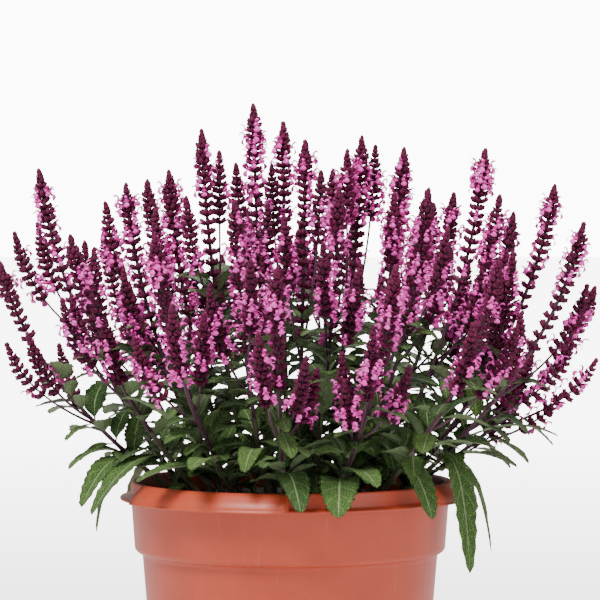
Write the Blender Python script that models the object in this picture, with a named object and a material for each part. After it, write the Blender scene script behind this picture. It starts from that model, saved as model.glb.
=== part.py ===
"""A clump of perennial salvia in its round plastic grower's pot, at its real size.

The pot stands on z = 0 with its axis on Z. The camera side of the plant is -Y.
Every flowering stem is two bodies: a green foot with its leaves, and a dark flowering top with
its side spikes. They meet end to end where the green of the stem gives way to purple.
"""

import itertools
import math
import random

import bmesh
import bpy
import numpy as np
from mathutils import Vector

CM = 0.01

# The pot: radii and heights in centimetres.
POT_FOOT_RADIUS = 11.2
POT_BODY_RADIUS = 12.6
POT_BODY_TOP = 16.85
POT_SHOULDER_RADIUS = 13.25
POT_SHOULDER_LOW = 17.45
POT_NECK_RADIUS = 13.55
POT_RIM_LOW = 21.45
POT_BEAD_RADIUS = 14.5
POT_BEAD_THICK = 0.24
POT_GRIP_RADIUS = 15.0
POT_GRIP_TOP_RADIUS = 13.95
POT_HEIGHT = 23.0
POT_WALL = 0.3
POT_FLOOR = 0.35
POT_SIDES = 32
GRIP_SPAN = 64.4
GRIP_STARTS = (-34.4, 85.6, 205.6)
GRIP_SIDES = 8
DRAIN_RADIUS = 0.6
DRAIN_RING = 8.0
DRAIN_HOLES = 6

# The soil: it fills the pot to a little under the rim.
SOIL_TOP = 21.2
SOIL_RINGS = (10.2, 6.8, 3.2)
SOIL_SIDES = 18
SOIL_BUMP = 0.16
STEM_SUNK = 1.6
CROWN_TOP = 21.5
STEM_HOLE_RADIUS = 0.40
STEM_HOLE_SIDES = 5

# The stems: square, like every sage, and thinner towards the tip.
STEM_RADIUS = 0.27
STEM_TIP_RADIUS = 0.16
SIDE_STEM_RADIUS = 0.12
STEM_LEAN = 1.7
CROWN_SPREAD = 0.40
CROWN_RADIUS = 9.2
NODE_HALF = 0.14

# The flower spikes: florets in crossed pairs round a slim core.
CORE_RADIUS = 0.19
WHORL_STEP = 1.6
FLORET_REACH = 0.55
OPEN_FLORET_REACH = 0.80
BUD_HEIGHT = 0.7
SPIKE_ROOM = 0.92
SIDE_SPIKE_LONGEST = 5.6
SIDE_SPIKE_ROOM = 0.66
# How far before or behind its stem a side spike ends, to try in order.
SIDE_DEPTHS = (1.5, -1.5, 2.2, -2.2, 3.0, -3.0, 3.8, -3.8, 4.6, -4.6)
# Further side spikes of a stem: how many are tried and how many stay, how far aside they end and
# how far below its tip.
LATE_TRIES = 8
LATE_SPIKES = 2
LATE_ASIDE = (1.4, 3.4)
LATE_BELOW = (5.0, 11.0)

# Each flowering stem, in centimetres: where its tip stands (x, y, z), the length of its flower
# spike, and the tips (x, z) of the side spikes that it bears.
STEMS = (
    ((-24.3, -3.0, 41.1), 6.5, ((-21.8, 35.3), (-19.6, 34.2))),
    ((-21.6, 3.0, 49.0), 13.0, ((-21.9, 44.4), (-18.6, 38.4))),
    ((-18.1, -7.0, 43.4), 9.5, ((-16.0, 42.4), (-15.2, 36.9))),
    ((-13.8, -2.5, 47.7), 13.5, ((-15.6, 46.1), (-13.9, 40.6))),
    ((-12.6, 9.0, 48.2), 12.0, ((-14.6, 40.1), (-11.0, 41.5))),
    ((-10.4, 2.5, 48.9), 14.5, ((-11.6, 45.5), (-13.1, 36.4))),
    ((-7.4, -3.5, 52.2), 15.0, ((-8.6, 46.6), (-6.0, 50.3))),
    ((-3.1, 0.0, 54.5), 17.5, ((-4.6, 49.4), (-1.9, 46.0))),
    ((-0.6, 6.5, 53.2), 16.0, ((-1.6, 49.4), (-2.6, 43.6))),
    ((1.3, -4.0, 51.3), 16.5, ((2.6, 48.6), (-0.4, 44.8))),
    ((6.2, 4.0, 51.9), 16.0, ((4.9, 50.5), (7.4, 50.9))),
    ((9.6, -2.5, 50.7), 12.5, ((8.7, 46.9), (10.9, 42.0))),
    ((11.3, -10.0, 47.2), 11.5, ((12.8, 44.0), (9.9, 41.0))),
    ((14.2, 5.5, 47.0), 13.0, ((12.6, 46.0), (15.4, 41.0))),
    ((16.4, -3.0, 50.6), 14.5, ((17.5, 46.7), (14.9, 40.2))),
    ((19.3, 4.5, 45.3), 12.5, ((17.7, 43.8), (18.1, 37.6))),
    ((22.4, -1.0, 47.6), 15.5, ((20.6, 34.6), (18.1, 36.4))),
    ((24.2, -7.5, 44.4), 10.5, ((24.7, 39.3), (20.2, 33.6))),
    ((26.2, 3.5, 38.9), 8.5, ((23.2, 30.1), (19.9, 29.9))),
    ((4.0, -12.5, 47.2), 13.0, ((2.7, 42.8), (5.4, 40.5))),
    ((-4.4, -13.5, 46.2), 13.0, ((-3.1, 41.5), (-6.4, 39.5))),
    ((-10.8, -14.5, 43.6), 11.5, ((-12.6, 35.2), (-9.4, 37.8))),
    ((-1.0, -19.5, 40.8), 9.5, ((1.3, 34.0), (-2.4, 35.8))),
    ((8.4, -18.0, 41.0), 10.0, ((9.6, 33.0), (6.6, 36.2))),
    ((16.8, -14.5, 41.6), 10.5, ((14.6, 36.5), (18.4, 36.0))),
    ((-16.8, 14.0, 43.6), 11.0, ((-18.3, 38.5), (-14.8, 38.0))),
    ((-4.0, 18.5, 45.6), 12.0, ((-6.3, 41.5), (-2.2, 39.0))),
    ((11.5, 16.5, 45.0), 12.0, ((13.6, 40.5), (9.4, 38.6))),
    ((3.8, 12.5, 49.2), 13.5, ((5.6, 44.8), (2.2, 42.6))),
)

# The large leaves that hang over the rim or reach out of the clump, in centimetres: the stem that
# bears the leaf, the height of its root, its tip (x, y, z) and its greatest width.
LARGE_LEAVES = (
    (0, 25.0, (-17.3, -7.0, 21.3), 2.4),
    (0, 26.0, (-18.6, -4.0, 24.2), 2.2),
    (2, 25.2, (-16.3, -9.4, 20.9), 2.4),
    (1, 24.6, (-16.5, -1.4, 18.6), 1.9),
    (1, 28.6, (-21.8, 0.2, 29.2), 1.8),
    (21, 27.4, (-13.9, -9.8, 30.4), 2.2),
    (21, 26.2, (-7.9, -15.5, 25.1), 2.1),
    (21, 24.4, (-12.4, -13.0, 23.9), 2.2),
    (20, 25.0, (-3.6, -15.6, 24.9), 2.2),
    (22, 24.5, (0.9, -17.2, 21.8), 2.6),
    (22, 26.3, (-2.9, -17.4, 25.4), 1.9),
    (23, 24.4, (3.9, -17.4, 21.4), 3.3),
    (23, 26.0, (7.0, -17.0, 23.8), 2.3),
    (19, 27.6, (3.2, -13.0, 32.6), 2.5),
    (24, 24.5, (11.6, -12.2, 20.8), 2.4),
    (17, 25.0, (14.1, -8.2, 15.9), 2.2),
    (16, 24.4, (16.3, -1.2, 17.0), 2.2),
    (17, 26.2, (18.9, -6.4, 24.6), 2.2),
    (24, 26.3, (16.9, -10.2, 26.4), 2.1),
    (24, 28.0, (17.2, -8.0, 30.2), 2.2),
    (18, 27.4, (22.8, -1.4, 26.8), 1.4),
    (17, 28.2, (19.6, -7.4, 31.6), 1.8),
    (25, 25.0, (-14.5, 10.5, 20.5), 2.4),
    (26, 25.0, (-5.5, 17.2, 20.8), 2.4),
    (27, 25.0, (8.5, 16.2, 20.6), 2.4),
    (15, 25.2, (16.4, 7.6, 19.6), 2.3),
    (28, 25.4, (2.0, 17.4, 22.0), 2.2),
    (25, 26.4, (-10.6, 14.4, 23.4), 2.2),
    (13, 25.4, (13.8, 11.6, 23.4), 2.2),
)
# How far along a large leaf its arch bends, how high the bend is lifted, and how far its tip is
# moved aside, to try in order until it is clear.
LARGE_LEAF_BENDS = (0.5, 0.75)
LARGE_LEAF_LIFTS = (1.4, 2.2, 3.0, 3.8, 0.8)
LARGE_LEAF_SHIFTS = ((0, 0), (0, -0.8), (0, 0.8), (-0.8, 0), (0.8, 0), (-0.8, -0.8), (0.8, -0.8))

# The rest of the leaves stand in crossed pairs up the green foot of every stem.
PAIR_STEP = 2.4
PAIR_APART = 0.9
PAIR_LOWEST = 24.0
INNER_PAIR_LOWEST = 27.0
INNER_RADIUS = 12.0
LEAF_LENGTH = 5.6
LEAF_WIDTH_SHARE = 0.37
LEAF_RISE = 34.0
LEAF_THICK = 0.12
LEAF_FOLD = 0.22
LEAF_SAMPLES = 21
LEAF_FOOT_SAMPLES = 4
DROOP = np.array((0.0, 0.0, 0.16))
# Turn, length and lift to try in order, until a leaf is clear of its neighbours.
LEAF_TRIES = (
    (0, 1, 0), (0.35, 1, 0.2), (-0.35, 1, 0.2), (0.6, 0.9, 0), (-0.6, 0.9, 0), (0, 0.8, 0.35),
    (0.6, 0.8, 0.3), (-0.6, 0.8, 0.3), (0, 0.65, 0.5), (0.5, 0.6, 0.2), (-0.5, 0.6, 0.2),
    (0.3, 0.5, -0.3), (-0.3, 0.5, -0.3),
)
LEAF_CLEARANCE = 0.36
STEM_CLEARANCE = 0.24
OWN_CLEARANCE = 0.25
STALK_SHARE = 0.14
STALK_HALF = 0.09
# Along the blade and half its width there, as shares: the notches make the waved edge.
LEAF_MARGIN = ((0.24, 0.84), (0.42, 1.0), (0.56, 0.86), (0.82, 0.78))
LEAF_RIB = (0.35, 0.62)

COLOURS = {
    "pot": ((0.52, 0.17, 0.10, 1.0), 0.42),
    "soil": ((0.035, 0.026, 0.020, 1.0), 0.95),
    "foliage": ((0.110, 0.185, 0.060, 1.0), 0.62),
    "bloom": ((0.135, 0.018, 0.060, 1.0), 0.60),
}


def clear_scene():
    for obj in list(bpy.data.objects):
        bpy.data.objects.remove(obj)


def finish_of(name):
    """The material of one kind of piece, made once."""
    if name in bpy.data.materials:
        return bpy.data.materials[name]
    colour, roughness = COLOURS[name]
    material = bpy.data.materials.new(name)
    material.use_nodes = True
    shader = material.node_tree.nodes["Principled BSDF"]
    shader.inputs["Base Color"].default_value = colour
    shader.inputs["Roughness"].default_value = roughness
    return material


def solid(name, points, faces, finish=None, scale=CM):
    """One object from points in centimetres, its faces turned outwards."""
    mesh = bpy.data.meshes.new(name)
    mesh.from_pydata([tuple(c * scale for c in p) for p in points], [], faces)
    build = bmesh.new()
    build.from_mesh(mesh)
    bmesh.ops.recalc_face_normals(build, faces=build.faces)
    build.to_mesh(mesh)
    build.free()
    obj = bpy.data.objects.new(name, mesh)
    bpy.context.scene.collection.objects.link(obj)
    if finish:
        mesh.materials.append(finish_of(finish))
    return obj


def apply_boolean(target, others, operation, solver):
    """Joins or cuts the target by the others at one go, and removes them."""
    group = bpy.data.collections.new("operands")
    bpy.context.scene.collection.children.link(group)
    for obj in others:
        bpy.context.scene.collection.objects.unlink(obj)
        group.objects.link(obj)
    modifier = target.modifiers.new(operation, "BOOLEAN")
    modifier.operation = operation
    modifier.operand_type = "COLLECTION"
    modifier.collection = group
    modifier.solver = solver
    with bpy.context.temp_override(object=target, active_object=target):
        bpy.ops.object.modifier_apply(modifier=modifier.name)
    for obj in others:
        bpy.data.objects.remove(obj)
    bpy.data.collections.remove(group)


def ring_points(radius, height, sides):
    """Points evenly round the Z axis."""
    angles = [2 * math.pi * i / sides for i in range(sides)]
    return [(radius * math.cos(a), radius * math.sin(a), height) for a in angles]


def turned(name, profile, sides, finish):
    """A closed turned solid. The profile runs up the outside and down the inside."""
    points = []
    faces = []
    for radius, height in profile:
        points += ring_points(radius, height, sides)
    rings = len(profile)
    for k in range(rings - 1):
        for i in range(sides):
            j = (i + 1) % sides
            faces.append((k * sides + i, k * sides + j, (k + 1) * sides + j, (k + 1) * sides + i))
    faces.append(tuple(range(sides)))
    faces.append(tuple((rings - 1) * sides + i for i in range(sides)))
    return solid(name, points, faces, finish)


def build_pot():
    """Tapered body, stepped shoulder, thin bead under the rim, three grips and drain holes."""
    inner_neck = POT_NECK_RADIUS - POT_WALL
    bead_top = POT_RIM_LOW + POT_BEAD_THICK
    profile = (
        (POT_FOOT_RADIUS - 0.3, 0.0),
        (POT_FOOT_RADIUS, 0.3),
        (POT_BODY_RADIUS, POT_BODY_TOP),
        (POT_SHOULDER_RADIUS, POT_SHOULDER_LOW),
        (POT_NECK_RADIUS, POT_RIM_LOW),
        (POT_BEAD_RADIUS - 0.05, POT_RIM_LOW + 0.04),
        (POT_BEAD_RADIUS, POT_RIM_LOW + POT_BEAD_THICK / 2),
        (POT_BEAD_RADIUS - 0.1, bead_top),
        (POT_NECK_RADIUS, bead_top + 0.1),
        (POT_NECK_RADIUS, POT_HEIGHT - 0.12),
        (POT_NECK_RADIUS - 0.1, POT_HEIGHT),
        (inner_neck + 0.04, POT_HEIGHT),
        (inner_neck, POT_RIM_LOW),
        (POT_SHOULDER_RADIUS - POT_WALL, POT_SHOULDER_LOW + 0.15),
        (POT_BODY_RADIUS - POT_WALL, POT_BODY_TOP + 0.15),
        (POT_FOOT_RADIUS - POT_WALL, POT_FLOOR),
    )
    pot = turned("pot", profile, POT_SIDES, "pot")
    grips = [grip(k, start) for k, start in enumerate(GRIP_STARTS)]
    apply_boolean(pot, grips, "UNION", "EXACT")
    drains = []
    for k in range(DRAIN_HOLES):
        angle = 2 * math.pi * k / DRAIN_HOLES
        centre = (DRAIN_RING * math.cos(angle), DRAIN_RING * math.sin(angle))
        drains.append(prism("drain", centre, -1.0, POT_FLOOR + 1.0, DRAIN_RADIUS, 8))
    apply_boolean(pot, drains, "DIFFERENCE", "EXACT")
    return pot


def grip(index, start):
    """One grip: a stretch of the rim that stands out further, its face leaning in to the top."""
    rooted = POT_NECK_RADIUS - 0.15
    section = (
        (rooted, POT_RIM_LOW + 0.10),
        (POT_GRIP_RADIUS, POT_RIM_LOW + 0.06),
        (POT_GRIP_RADIUS - 0.02, POT_RIM_LOW + 0.36),
        (POT_GRIP_TOP_RADIUS, POT_HEIGHT - 0.16),
        (POT_GRIP_TOP_RADIUS - 0.2, POT_HEIGHT - 0.03),
        (rooted, POT_HEIGHT - 0.03),
    )
    points = []
    for k in range(GRIP_SIDES):
        angle = math.radians(start + GRIP_SPAN * k / (GRIP_SIDES - 1))
        points += [(r * math.cos(angle), r * math.sin(angle), z) for r, z in section]
    count = len(section)
    faces = [tuple(range(count)), tuple((GRIP_SIDES - 1) * count + i for i in range(count))]
    for k in range(GRIP_SIDES - 1):
        for i in range(count):
            j = (i + 1) % count
            faces.append((k * count + i, k * count + j, (k + 1) * count + j, (k + 1) * count + i))
    return solid(f"grip_{index}", points, faces)


def prism(name, centre, low, high, radius, sides):
    points = []
    for height in (low, high):
        for x, y, z in ring_points(radius, height, sides):
            points.append((x + centre[0], y + centre[1], z))
    faces = [tuple(range(sides)), tuple(range(sides, 2 * sides))]
    faces += [(i, (i + 1) % sides, (i + 1) % sides + sides, i + sides) for i in range(sides)]
    return solid(name, points, faces)


def build_soil(stems):
    """Potting soil to the pot's inner wall, with a crumbly top and a plain hole for each stem."""
    draw = random.Random(7)
    slack = 0.06
    inner_neck = POT_NECK_RADIUS - POT_WALL - slack
    outline = (
        (POT_FOOT_RADIUS - POT_WALL - slack, POT_FLOOR + 0.05),
        (POT_BODY_RADIUS - POT_WALL - slack, POT_BODY_TOP + 0.10),
        (POT_SHOULDER_RADIUS - POT_WALL - slack, POT_SHOULDER_LOW + 0.20),
        (inner_neck - 0.04, SOIL_TOP - 0.15),
    )
    shrink = math.cos(math.pi / POT_SIDES) - 0.002
    points = []
    for radius, height in outline:
        points += ring_points(radius * shrink, height, SOIL_SIDES)
    for radius in SOIL_RINGS:
        for x, y, z in ring_points(radius, SOIL_TOP, SOIL_SIDES):
            points.append((x, y, z + draw.uniform(-SOIL_BUMP, SOIL_BUMP)))
    faces = [tuple(range(SOIL_SIDES))]
    rings = len(outline) + len(SOIL_RINGS)
    for k in range(rings - 1):
        for i in range(SOIL_SIDES):
            j = (i + 1) % SOIL_SIDES
            low = k * SOIL_SIDES
            high = low + SOIL_SIDES
            faces.append((low + i, low + j, high + j))
            faces.append((low + i, high + j, high + i))
    points.append((0.0, 0.0, SOIL_TOP))
    last = (rings - 1) * SOIL_SIDES
    for i in range(SOIL_SIDES):
        faces.append((last + i, last + (i + 1) % SOIL_SIDES, len(points) - 1))
    soil = solid("soil", points, faces, "soil")
    holes = []
    for stem in stems:
        foot = stem["base"]
        low = SOIL_TOP - STEM_SUNK - 0.05
        holes.append(prism("hole", foot, low, SOIL_TOP + 1.0, STEM_HOLE_RADIUS, STEM_HOLE_SIDES))
    apply_boolean(soil, holes, "DIFFERENCE", "EXACT")
    return soil


def unit(vector):
    return vector / np.linalg.norm(vector)


def bezier(a, b, c, share):
    share = np.asarray(share, float)[..., None]
    return a * (1 - share) ** 2 + b * 2 * share * (1 - share) + c * share * share


def stem_point(stem, height):
    """A point of a main stem: it leans out at the crown and grows steeper towards its tip."""
    share = max(0.0, (height - CROWN_TOP) / (stem["tip"][2] - CROWN_TOP))
    out = STEM_LEAN * share - (STEM_LEAN - 1) * share * share
    x = stem["base"][0] + (stem["tip"][0] - stem["base"][0]) * out
    y = stem["base"][1] + (stem["tip"][1] - stem["base"][1]) * out
    return np.array((x, y, height))


def stem_section(stem, height, radius=0.0):
    """Centre, direction, first corner and radius of a main stem's square section."""
    centre = stem_point(stem, height)
    ahead = unit(stem_point(stem, height + 0.4) - centre)
    heading = np.array((math.cos(stem["heading"]), math.sin(stem["heading"]), 0.0))
    return square_section(centre, ahead, heading, radius)


def square_section(centre, ahead, heading, radius):
    return centre, ahead, unit(heading - ahead * (heading @ ahead)), radius


def face_directions(section):
    """The way that each of a square stem's four faces looks."""
    _, ahead, across, _ = section
    beside = np.cross(ahead, across)
    turns = [math.pi / 4 + math.pi / 2 * i for i in range(4)]
    return [math.cos(t) * across + math.sin(t) * beside for t in turns]


def stem_radius(stem, height):
    share = max(0.0, (height - CROWN_TOP) / (stem["tip"][2] - CROWN_TOP))
    return STEM_RADIUS + (STEM_TIP_RADIUS - STEM_RADIUS) * share


def cloud(points, radius, owner):
    return {"points": np.asarray(points, float), "radius": radius, "owner": owner}


def clear_of(points, taken, owner, margin):
    """Whether the points stay further than the margin from everything of another stem."""
    low = points.min(0) - 2.2
    high = points.max(0) + 2.2
    for other in taken:
        if other["owner"] == owner:
            continue
        near = other["points"][((other["points"] > low) & (other["points"] < high)).all(1)]
        if not len(near):
            continue
        away = np.linalg.norm(points[:, None] - near[None], axis=2).min()
        if away < other["radius"] + margin:
            return False
    return True


def clear_of_pot(points):
    """Leaves stay off the soil and pass over the rim, not through it."""
    out = np.hypot(points[:, 0], points[:, 1])
    over_rim = (out > POT_NECK_RADIUS - POT_WALL - 0.6) & (out < POT_GRIP_RADIUS + 0.3)
    lowest = np.where(over_rim, POT_HEIGHT + 0.32, SOIL_TOP + 0.45)
    lowest = np.where(out > POT_GRIP_RADIUS + 0.3, 1.0, lowest)
    return bool((points[:, 2] > lowest).all())


def plan_stems():
    """Where every stem and side spike goes, and what room they take. Side spikes that are not in
    the table come last, where there is room beside a stem's spike."""
    draw = random.Random(5)
    stems = []
    taken = []
    for index, (tip, spike, _) in enumerate(STEMS):
        spread = min(CROWN_SPREAD, CROWN_RADIUS / math.hypot(tip[0], tip[1]))
        base = (tip[0] * spread, tip[1] * spread)
        heading = draw.uniform(0, math.pi / 2)
        stem = {"index": index, "tip": tip, "base": base, "heading": heading, "sides": []}
        stem["spike_foot"] = tip[2] - spike
        stems.append(stem)
        heights = np.arange(SOIL_TOP - STEM_SUNK, tip[2] + 0.4, 0.3)
        line = np.array([stem_point(stem, h) for h in heights])
        foot = heights < stem["spike_foot"]
        stem["clouds"] = [
            cloud(line[foot], STEM_RADIUS, index),
            cloud(line[~foot], SPIKE_ROOM, index),
        ]
        taken += stem["clouds"]
    for stem, (_, _, sides) in zip(stems, STEMS):
        level = stem["spike_foot"] - 0.5
        for number, (x, z) in enumerate(sides):
            add_side_spike(stem, number, x, z, level, taken)
            if len(stem["sides"]) > 0:
                level = stem["sides"][-1]["height"] - 1.1
        stem["cut"] = min([side["height"] for side in stem["sides"]] + [level]) - 0.6
    for stem in stems:
        late = len(stem["sides"]) + LATE_SPIKES
        for number in range(LATE_TRIES):
            z = stem["tip"][2] - draw.uniform(*LATE_BELOW)
            x = stem_point(stem, z)[0] + draw.choice((-1, 1)) * draw.uniform(*LATE_ASIDE)
            rise = min(9.0, 0.5 * (z - SOIL_TOP))
            if z - rise > stem["cut"] + 1.2 and len(stem["sides"]) < late:
                add_side_spike(stem, number, x, z, stem["spike_foot"] - 0.5, taken)
    return stems, taken


def add_side_spike(stem, number, x, z, level, taken):
    """A side spike leaves one face of its stem and curves up beside it."""
    height = min(z - min(9.0, 0.5 * (z - SOIL_TOP)), level)
    section = stem_section(stem, height)
    root = section[0]
    rise = z - height
    spike = min(0.66 * rise, SIDE_SPIKE_LONGEST)
    sign = 1 if (stem["index"] + number) % 2 else -1
    own = [dict(part, owner=-1) for part in stem["clouds"][:2]]
    for depth in SIDE_DEPTHS:
        y = stem_point(stem, z)[1] + depth * sign
        tip = np.array((x, y, z))
        elbow = root + (tip - root) * np.array((0.8, 0.8, 0.36))
        line = bezier(root, elbow, tip, np.linspace(0, 1.03, 40))
        foot = int(40 * (1 - spike / rise))
        if not clear_of(line[foot:], taken + own, stem["index"], SIDE_SPIKE_ROOM):
            continue
        if not clear_of(line[3:foot], taken, stem["index"], SIDE_STEM_RADIUS + 0.1):
            continue
        ways = face_directions(section)
        face = max(range(4), key=lambda i: ways[i] @ (elbow - root))
        if any(abs(s["height"] - height) < 0.45 for s in stem["sides"]):
            continue
        stem["sides"].append(
            {"height": height, "face": face, "curve": (root, elbow, tip), "foot": 1 - spike / rise,
             "spike": spike}
        )
        stem["clouds"].append(cloud(line[3:foot], SIDE_STEM_RADIUS, stem["index"]))
        stem["clouds"].append(cloud(line[foot:], SIDE_SPIKE_ROOM, stem["index"]))
        taken += stem["clouds"][-2:]
        return


def leaf_frame(leaf, shares):
    """Midrib points, sideways and upward directions of a leaf at the given shares."""
    shares = np.asarray(shares, float)
    line = bezier(leaf["root"], leaf["elbow"], leaf["tip"], shares)
    ahead = bezier(leaf["root"], leaf["elbow"], leaf["tip"], shares + 0.01) - line
    ahead = ahead / np.linalg.norm(ahead, axis=1)[:, None]
    beside = unit(np.cross(leaf["tip"] - leaf["root"], (0.0, 0.0, 1.0)))
    beside = beside * math.cos(leaf["roll"]) + np.array((0, 0, 1.0)) * math.sin(leaf["roll"])
    beside = beside - ahead * (ahead @ beside)[:, None]
    beside = beside / np.linalg.norm(beside, axis=1)[:, None]
    return line, beside, np.cross(beside, ahead)


def leaf_cloud(leaf):
    """Points all over a blade, strip by strip: the first of each strip lie near its root."""
    shares = np.linspace(0.1, 1, LEAF_SAMPLES)
    width = np.interp(shares, [0.1, 0.35, 0.62, 1.0], [0.12, 0.95, 1.0, 0.1]) * leaf["width"] / 2
    line, beside, above = leaf_frame(leaf, shares)
    lift = above * (width * LEAF_FOLD)[:, None]
    rows = [line + beside * (width * k)[:, None] + lift * abs(k) for k in (-1, -0.5, 0, 0.5, 1)]
    return np.array(rows)


def plan_leaves(stems, taken):
    """The large leaves first, then crossed pairs up each stem. A leaf that would touch another
    turns, shortens or is left out."""
    draw = random.Random(19)
    leaves = []
    for number, height, tip, width in LARGE_LEAVES:
        stem = stems[number]
        height = min(height, stem["cut"] - 0.6)
        tip = np.array(tip)
        section = stem_section(stem, height)
        ways = face_directions(section)
        face = max(range(4), key=lambda i: ways[i] @ (tip - section[0]))
        root = section[0] + ways[face] * 0.1
        tries = itertools.product(LARGE_LEAF_SHIFTS, LARGE_LEAF_BENDS, LARGE_LEAF_LIFTS)
        for (along, across), bend, lift in tries:
            shifted = tip + np.array((along, across, 0.0))
            elbow = root + (shifted - root) * bend
            elbow[2] = max(root[2], tip[2]) + lift
            leaf = {"root": root, "elbow": elbow, "tip": shifted, "width": width, "roll": 0.0}
            if try_leaf(leaf, stem, height, face, taken, leaves):
                add_pair_leaf(stem, height, (face + 2) % 4, draw, taken, leaves)
                break
    for stem in stems:
        inner = math.hypot(*stem["tip"][:2]) < INNER_RADIUS
        height = (INNER_PAIR_LOWEST if inner else PAIR_LOWEST) + draw.uniform(0, 1.2)
        level = 0
        while height < stem["cut"] - 0.4:
            nodes = {leaf["height"] for leaf in leaves if leaf["stem"] == stem["index"]}
            if all(abs(height - node) > PAIR_APART for node in nodes):
                for face in (level % 2, level % 2 + 2):
                    add_pair_leaf(stem, height, face, draw, taken, leaves)
            level += 1
            height += PAIR_STEP * draw.uniform(0.85, 1.15)
    return leaves


def add_pair_leaf(stem, height, face, draw, taken, leaves):
    section = stem_section(stem, height)
    centre, along, _, _ = section
    way = face_directions(section)[face]
    root = centre + way * 0.1
    aside = np.cross(along, way)
    length = LEAF_LENGTH * draw.uniform(0.8, 1.1) * (1 - 0.03 * (height - PAIR_LOWEST))
    rise = math.radians(LEAF_RISE + draw.uniform(-14, 14))
    roll = draw.uniform(-0.3, 0.3)
    for turn, scale, lift in LEAF_TRIES:
        out = way * math.cos(turn) + aside * math.sin(turn)
        reach = length * scale
        steep = rise + lift
        elbow = root + (out * math.cos(steep) + along * math.sin(steep)) * reach * 0.5
        tip = elbow + (out * math.cos(steep) + along * 0.25) * reach * 0.5 - DROOP * reach
        leaf = {"root": root, "elbow": elbow, "tip": tip, "roll": roll}
        leaf["width"] = reach * LEAF_WIDTH_SHARE
        if try_leaf(leaf, stem, height, face, taken, leaves):
            return


def try_leaf(leaf, stem, height, face, taken, leaves):
    """Keeps a leaf if it is clear of the pot, of other stems and, past its foot, of its own."""
    points = leaf_cloud(leaf)
    blade = points[:, LEAF_FOOT_SAMPLES:].reshape(-1, 3)
    points = points.reshape(-1, 3)
    if not clear_of_pot(points):
        return False
    if not clear_of(points, taken, stem["index"], STEM_CLEARANCE):
        return False
    own = [cloud(o["cloud"], 0.1, -1) for o in leaves if o["stem"] == stem["index"]]
    own += [dict(part, owner=-1) for part in stem["clouds"]]
    if not clear_of(blade, own, stem["index"], OWN_CLEARANCE):
        return False
    leaf.update(stem=stem["index"], height=height, face=face, cloud=blade)
    leaves.append(leaf)
    taken.append(cloud(points, LEAF_CLEARANCE - STEM_CLEARANCE, stem["index"]))
    return True


class Skin:
    """Points and faces of one body, grown as one closed skin."""

    def __init__(self):
        self.points = []
        self.faces = []

    def add(self, point):
        self.points.append(point)
        return len(self.points) - 1

    def ring(self, section):
        centre, ahead, across, radius = section
        beside = np.cross(ahead, across)
        return [self.add(centre + radius * c) for c in (across, beside, -across, -beside)]

    def stem(self, sections, bearings, low=None):
        """A stem through square sections. A bearing tells, face by face, what the length above
        a section bears: nothing, a floret's reach, or a leaf or side spike."""
        low = low or self.ring(sections[0])
        for section, bearing in zip(sections[1:], bearings):
            high = self.ring(section)
            for i in range(4):
                quad = (low[i], low[(i + 1) % 4], high[(i + 1) % 4], high[i])
                grows = bearing[i] if bearing else None
                if grows is None:
                    self.faces.append(quad)
                elif isinstance(grows, float):
                    self.floret(quad, grows)
                elif "width" in grows:
                    self.leaf(quad, grows)
                else:
                    self.side_spike(quad, grows)
            low = high
        return low

    def floret(self, quad, reach):
        """A four-sided point that stands out of a face and up."""
        a, b, c, d = (self.points[n] for n in quad)
        up = unit(c + d - a - b)
        outward = unit(np.cross(b - a, up))
        apex = self.add((a + b + c + d) / 4 + (outward + up * 0.45) * reach)
        self.faces += [(quad[n], quad[(n + 1) % 4], apex) for n in range(4)]

    def tip(self, ring, height):
        """Closes a ring with a bud that stands on it."""
        middle = sum(self.points[n] for n in ring) / 4
        ahead = unit(np.cross(self.points[ring[0]] - middle, self.points[ring[1]] - middle))
        apex = self.add(middle + ahead * height)
        self.faces += [(ring[n], ring[(n + 1) % 4], apex) for n in range(4)]

    def side_spike(self, quad, side):
        """A side spike grows out of one face of its stem."""
        heading = self.points[quad[0]] - sum(self.points[n] for n in quad) / 4
        shares, radii, bearings = spike_plan(side["foot"], side["spike"], 2, side["draw"], False)
        sections = []
        for share, radius in zip(shares, radii):
            centre, ahead_of = bezier(*side["curve"], np.array((share, share + 0.01)))
            ahead = unit(ahead_of - centre)
            sections.append(square_section(centre, ahead, heading, radius))
        last = self.stem(sections, bearings, low=list(quad))
        self.tip(last, BUD_HEIGHT * 0.7)

    def leaf(self, quad, leaf):
        """A leaf grows out of one face: a short stalk, then a blade with a keel and a waved
        edge, folded up a little. Both faces of the blade are split alike."""
        rib_shares = [STALK_SHARE, *LEAF_RIB, 1.0]
        line, beside, above = leaf_frame(leaf, rib_shares)
        tops = [self.add(p + up * LEAF_THICK / 2) for p, up in zip(line[:-1], above)]
        unders = [self.add(p - up * LEAF_THICK / 2) for p, up in zip(line[:-1], above)]
        tip = self.add(line[-1])
        edge_shares = [STALK_SHARE] + [u for u, _ in LEAF_MARGIN]
        halves = [STALK_HALF] + [w * leaf["width"] / 2 for _, w in LEAF_MARGIN]
        line, beside, above = leaf_frame(leaf, edge_shares)
        edges = []
        for side in (-1, 1):
            lift = [half * LEAF_FOLD * (half > STALK_HALF) for half in halves]
            rows = zip(line, beside, above, halves, lift)
            edges.append([self.add(p + b * h * side + a * up) for p, b, a, h, up in rows])
        right, left = edges
        for ribs in (tops, unders):
            for edge in edges:
                self.faces += zipper(ribs + [tip], rib_shares, edge + [tip], edge_shares + [1.0])
        stalk = (unders[0], right[0], tops[0], left[0])
        for n in range(4):
            m = (n + 1) % 4
            self.faces.append((quad[n], quad[m], stalk[n]))
            self.faces.append((quad[m], stalk[m], stalk[n]))


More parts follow.
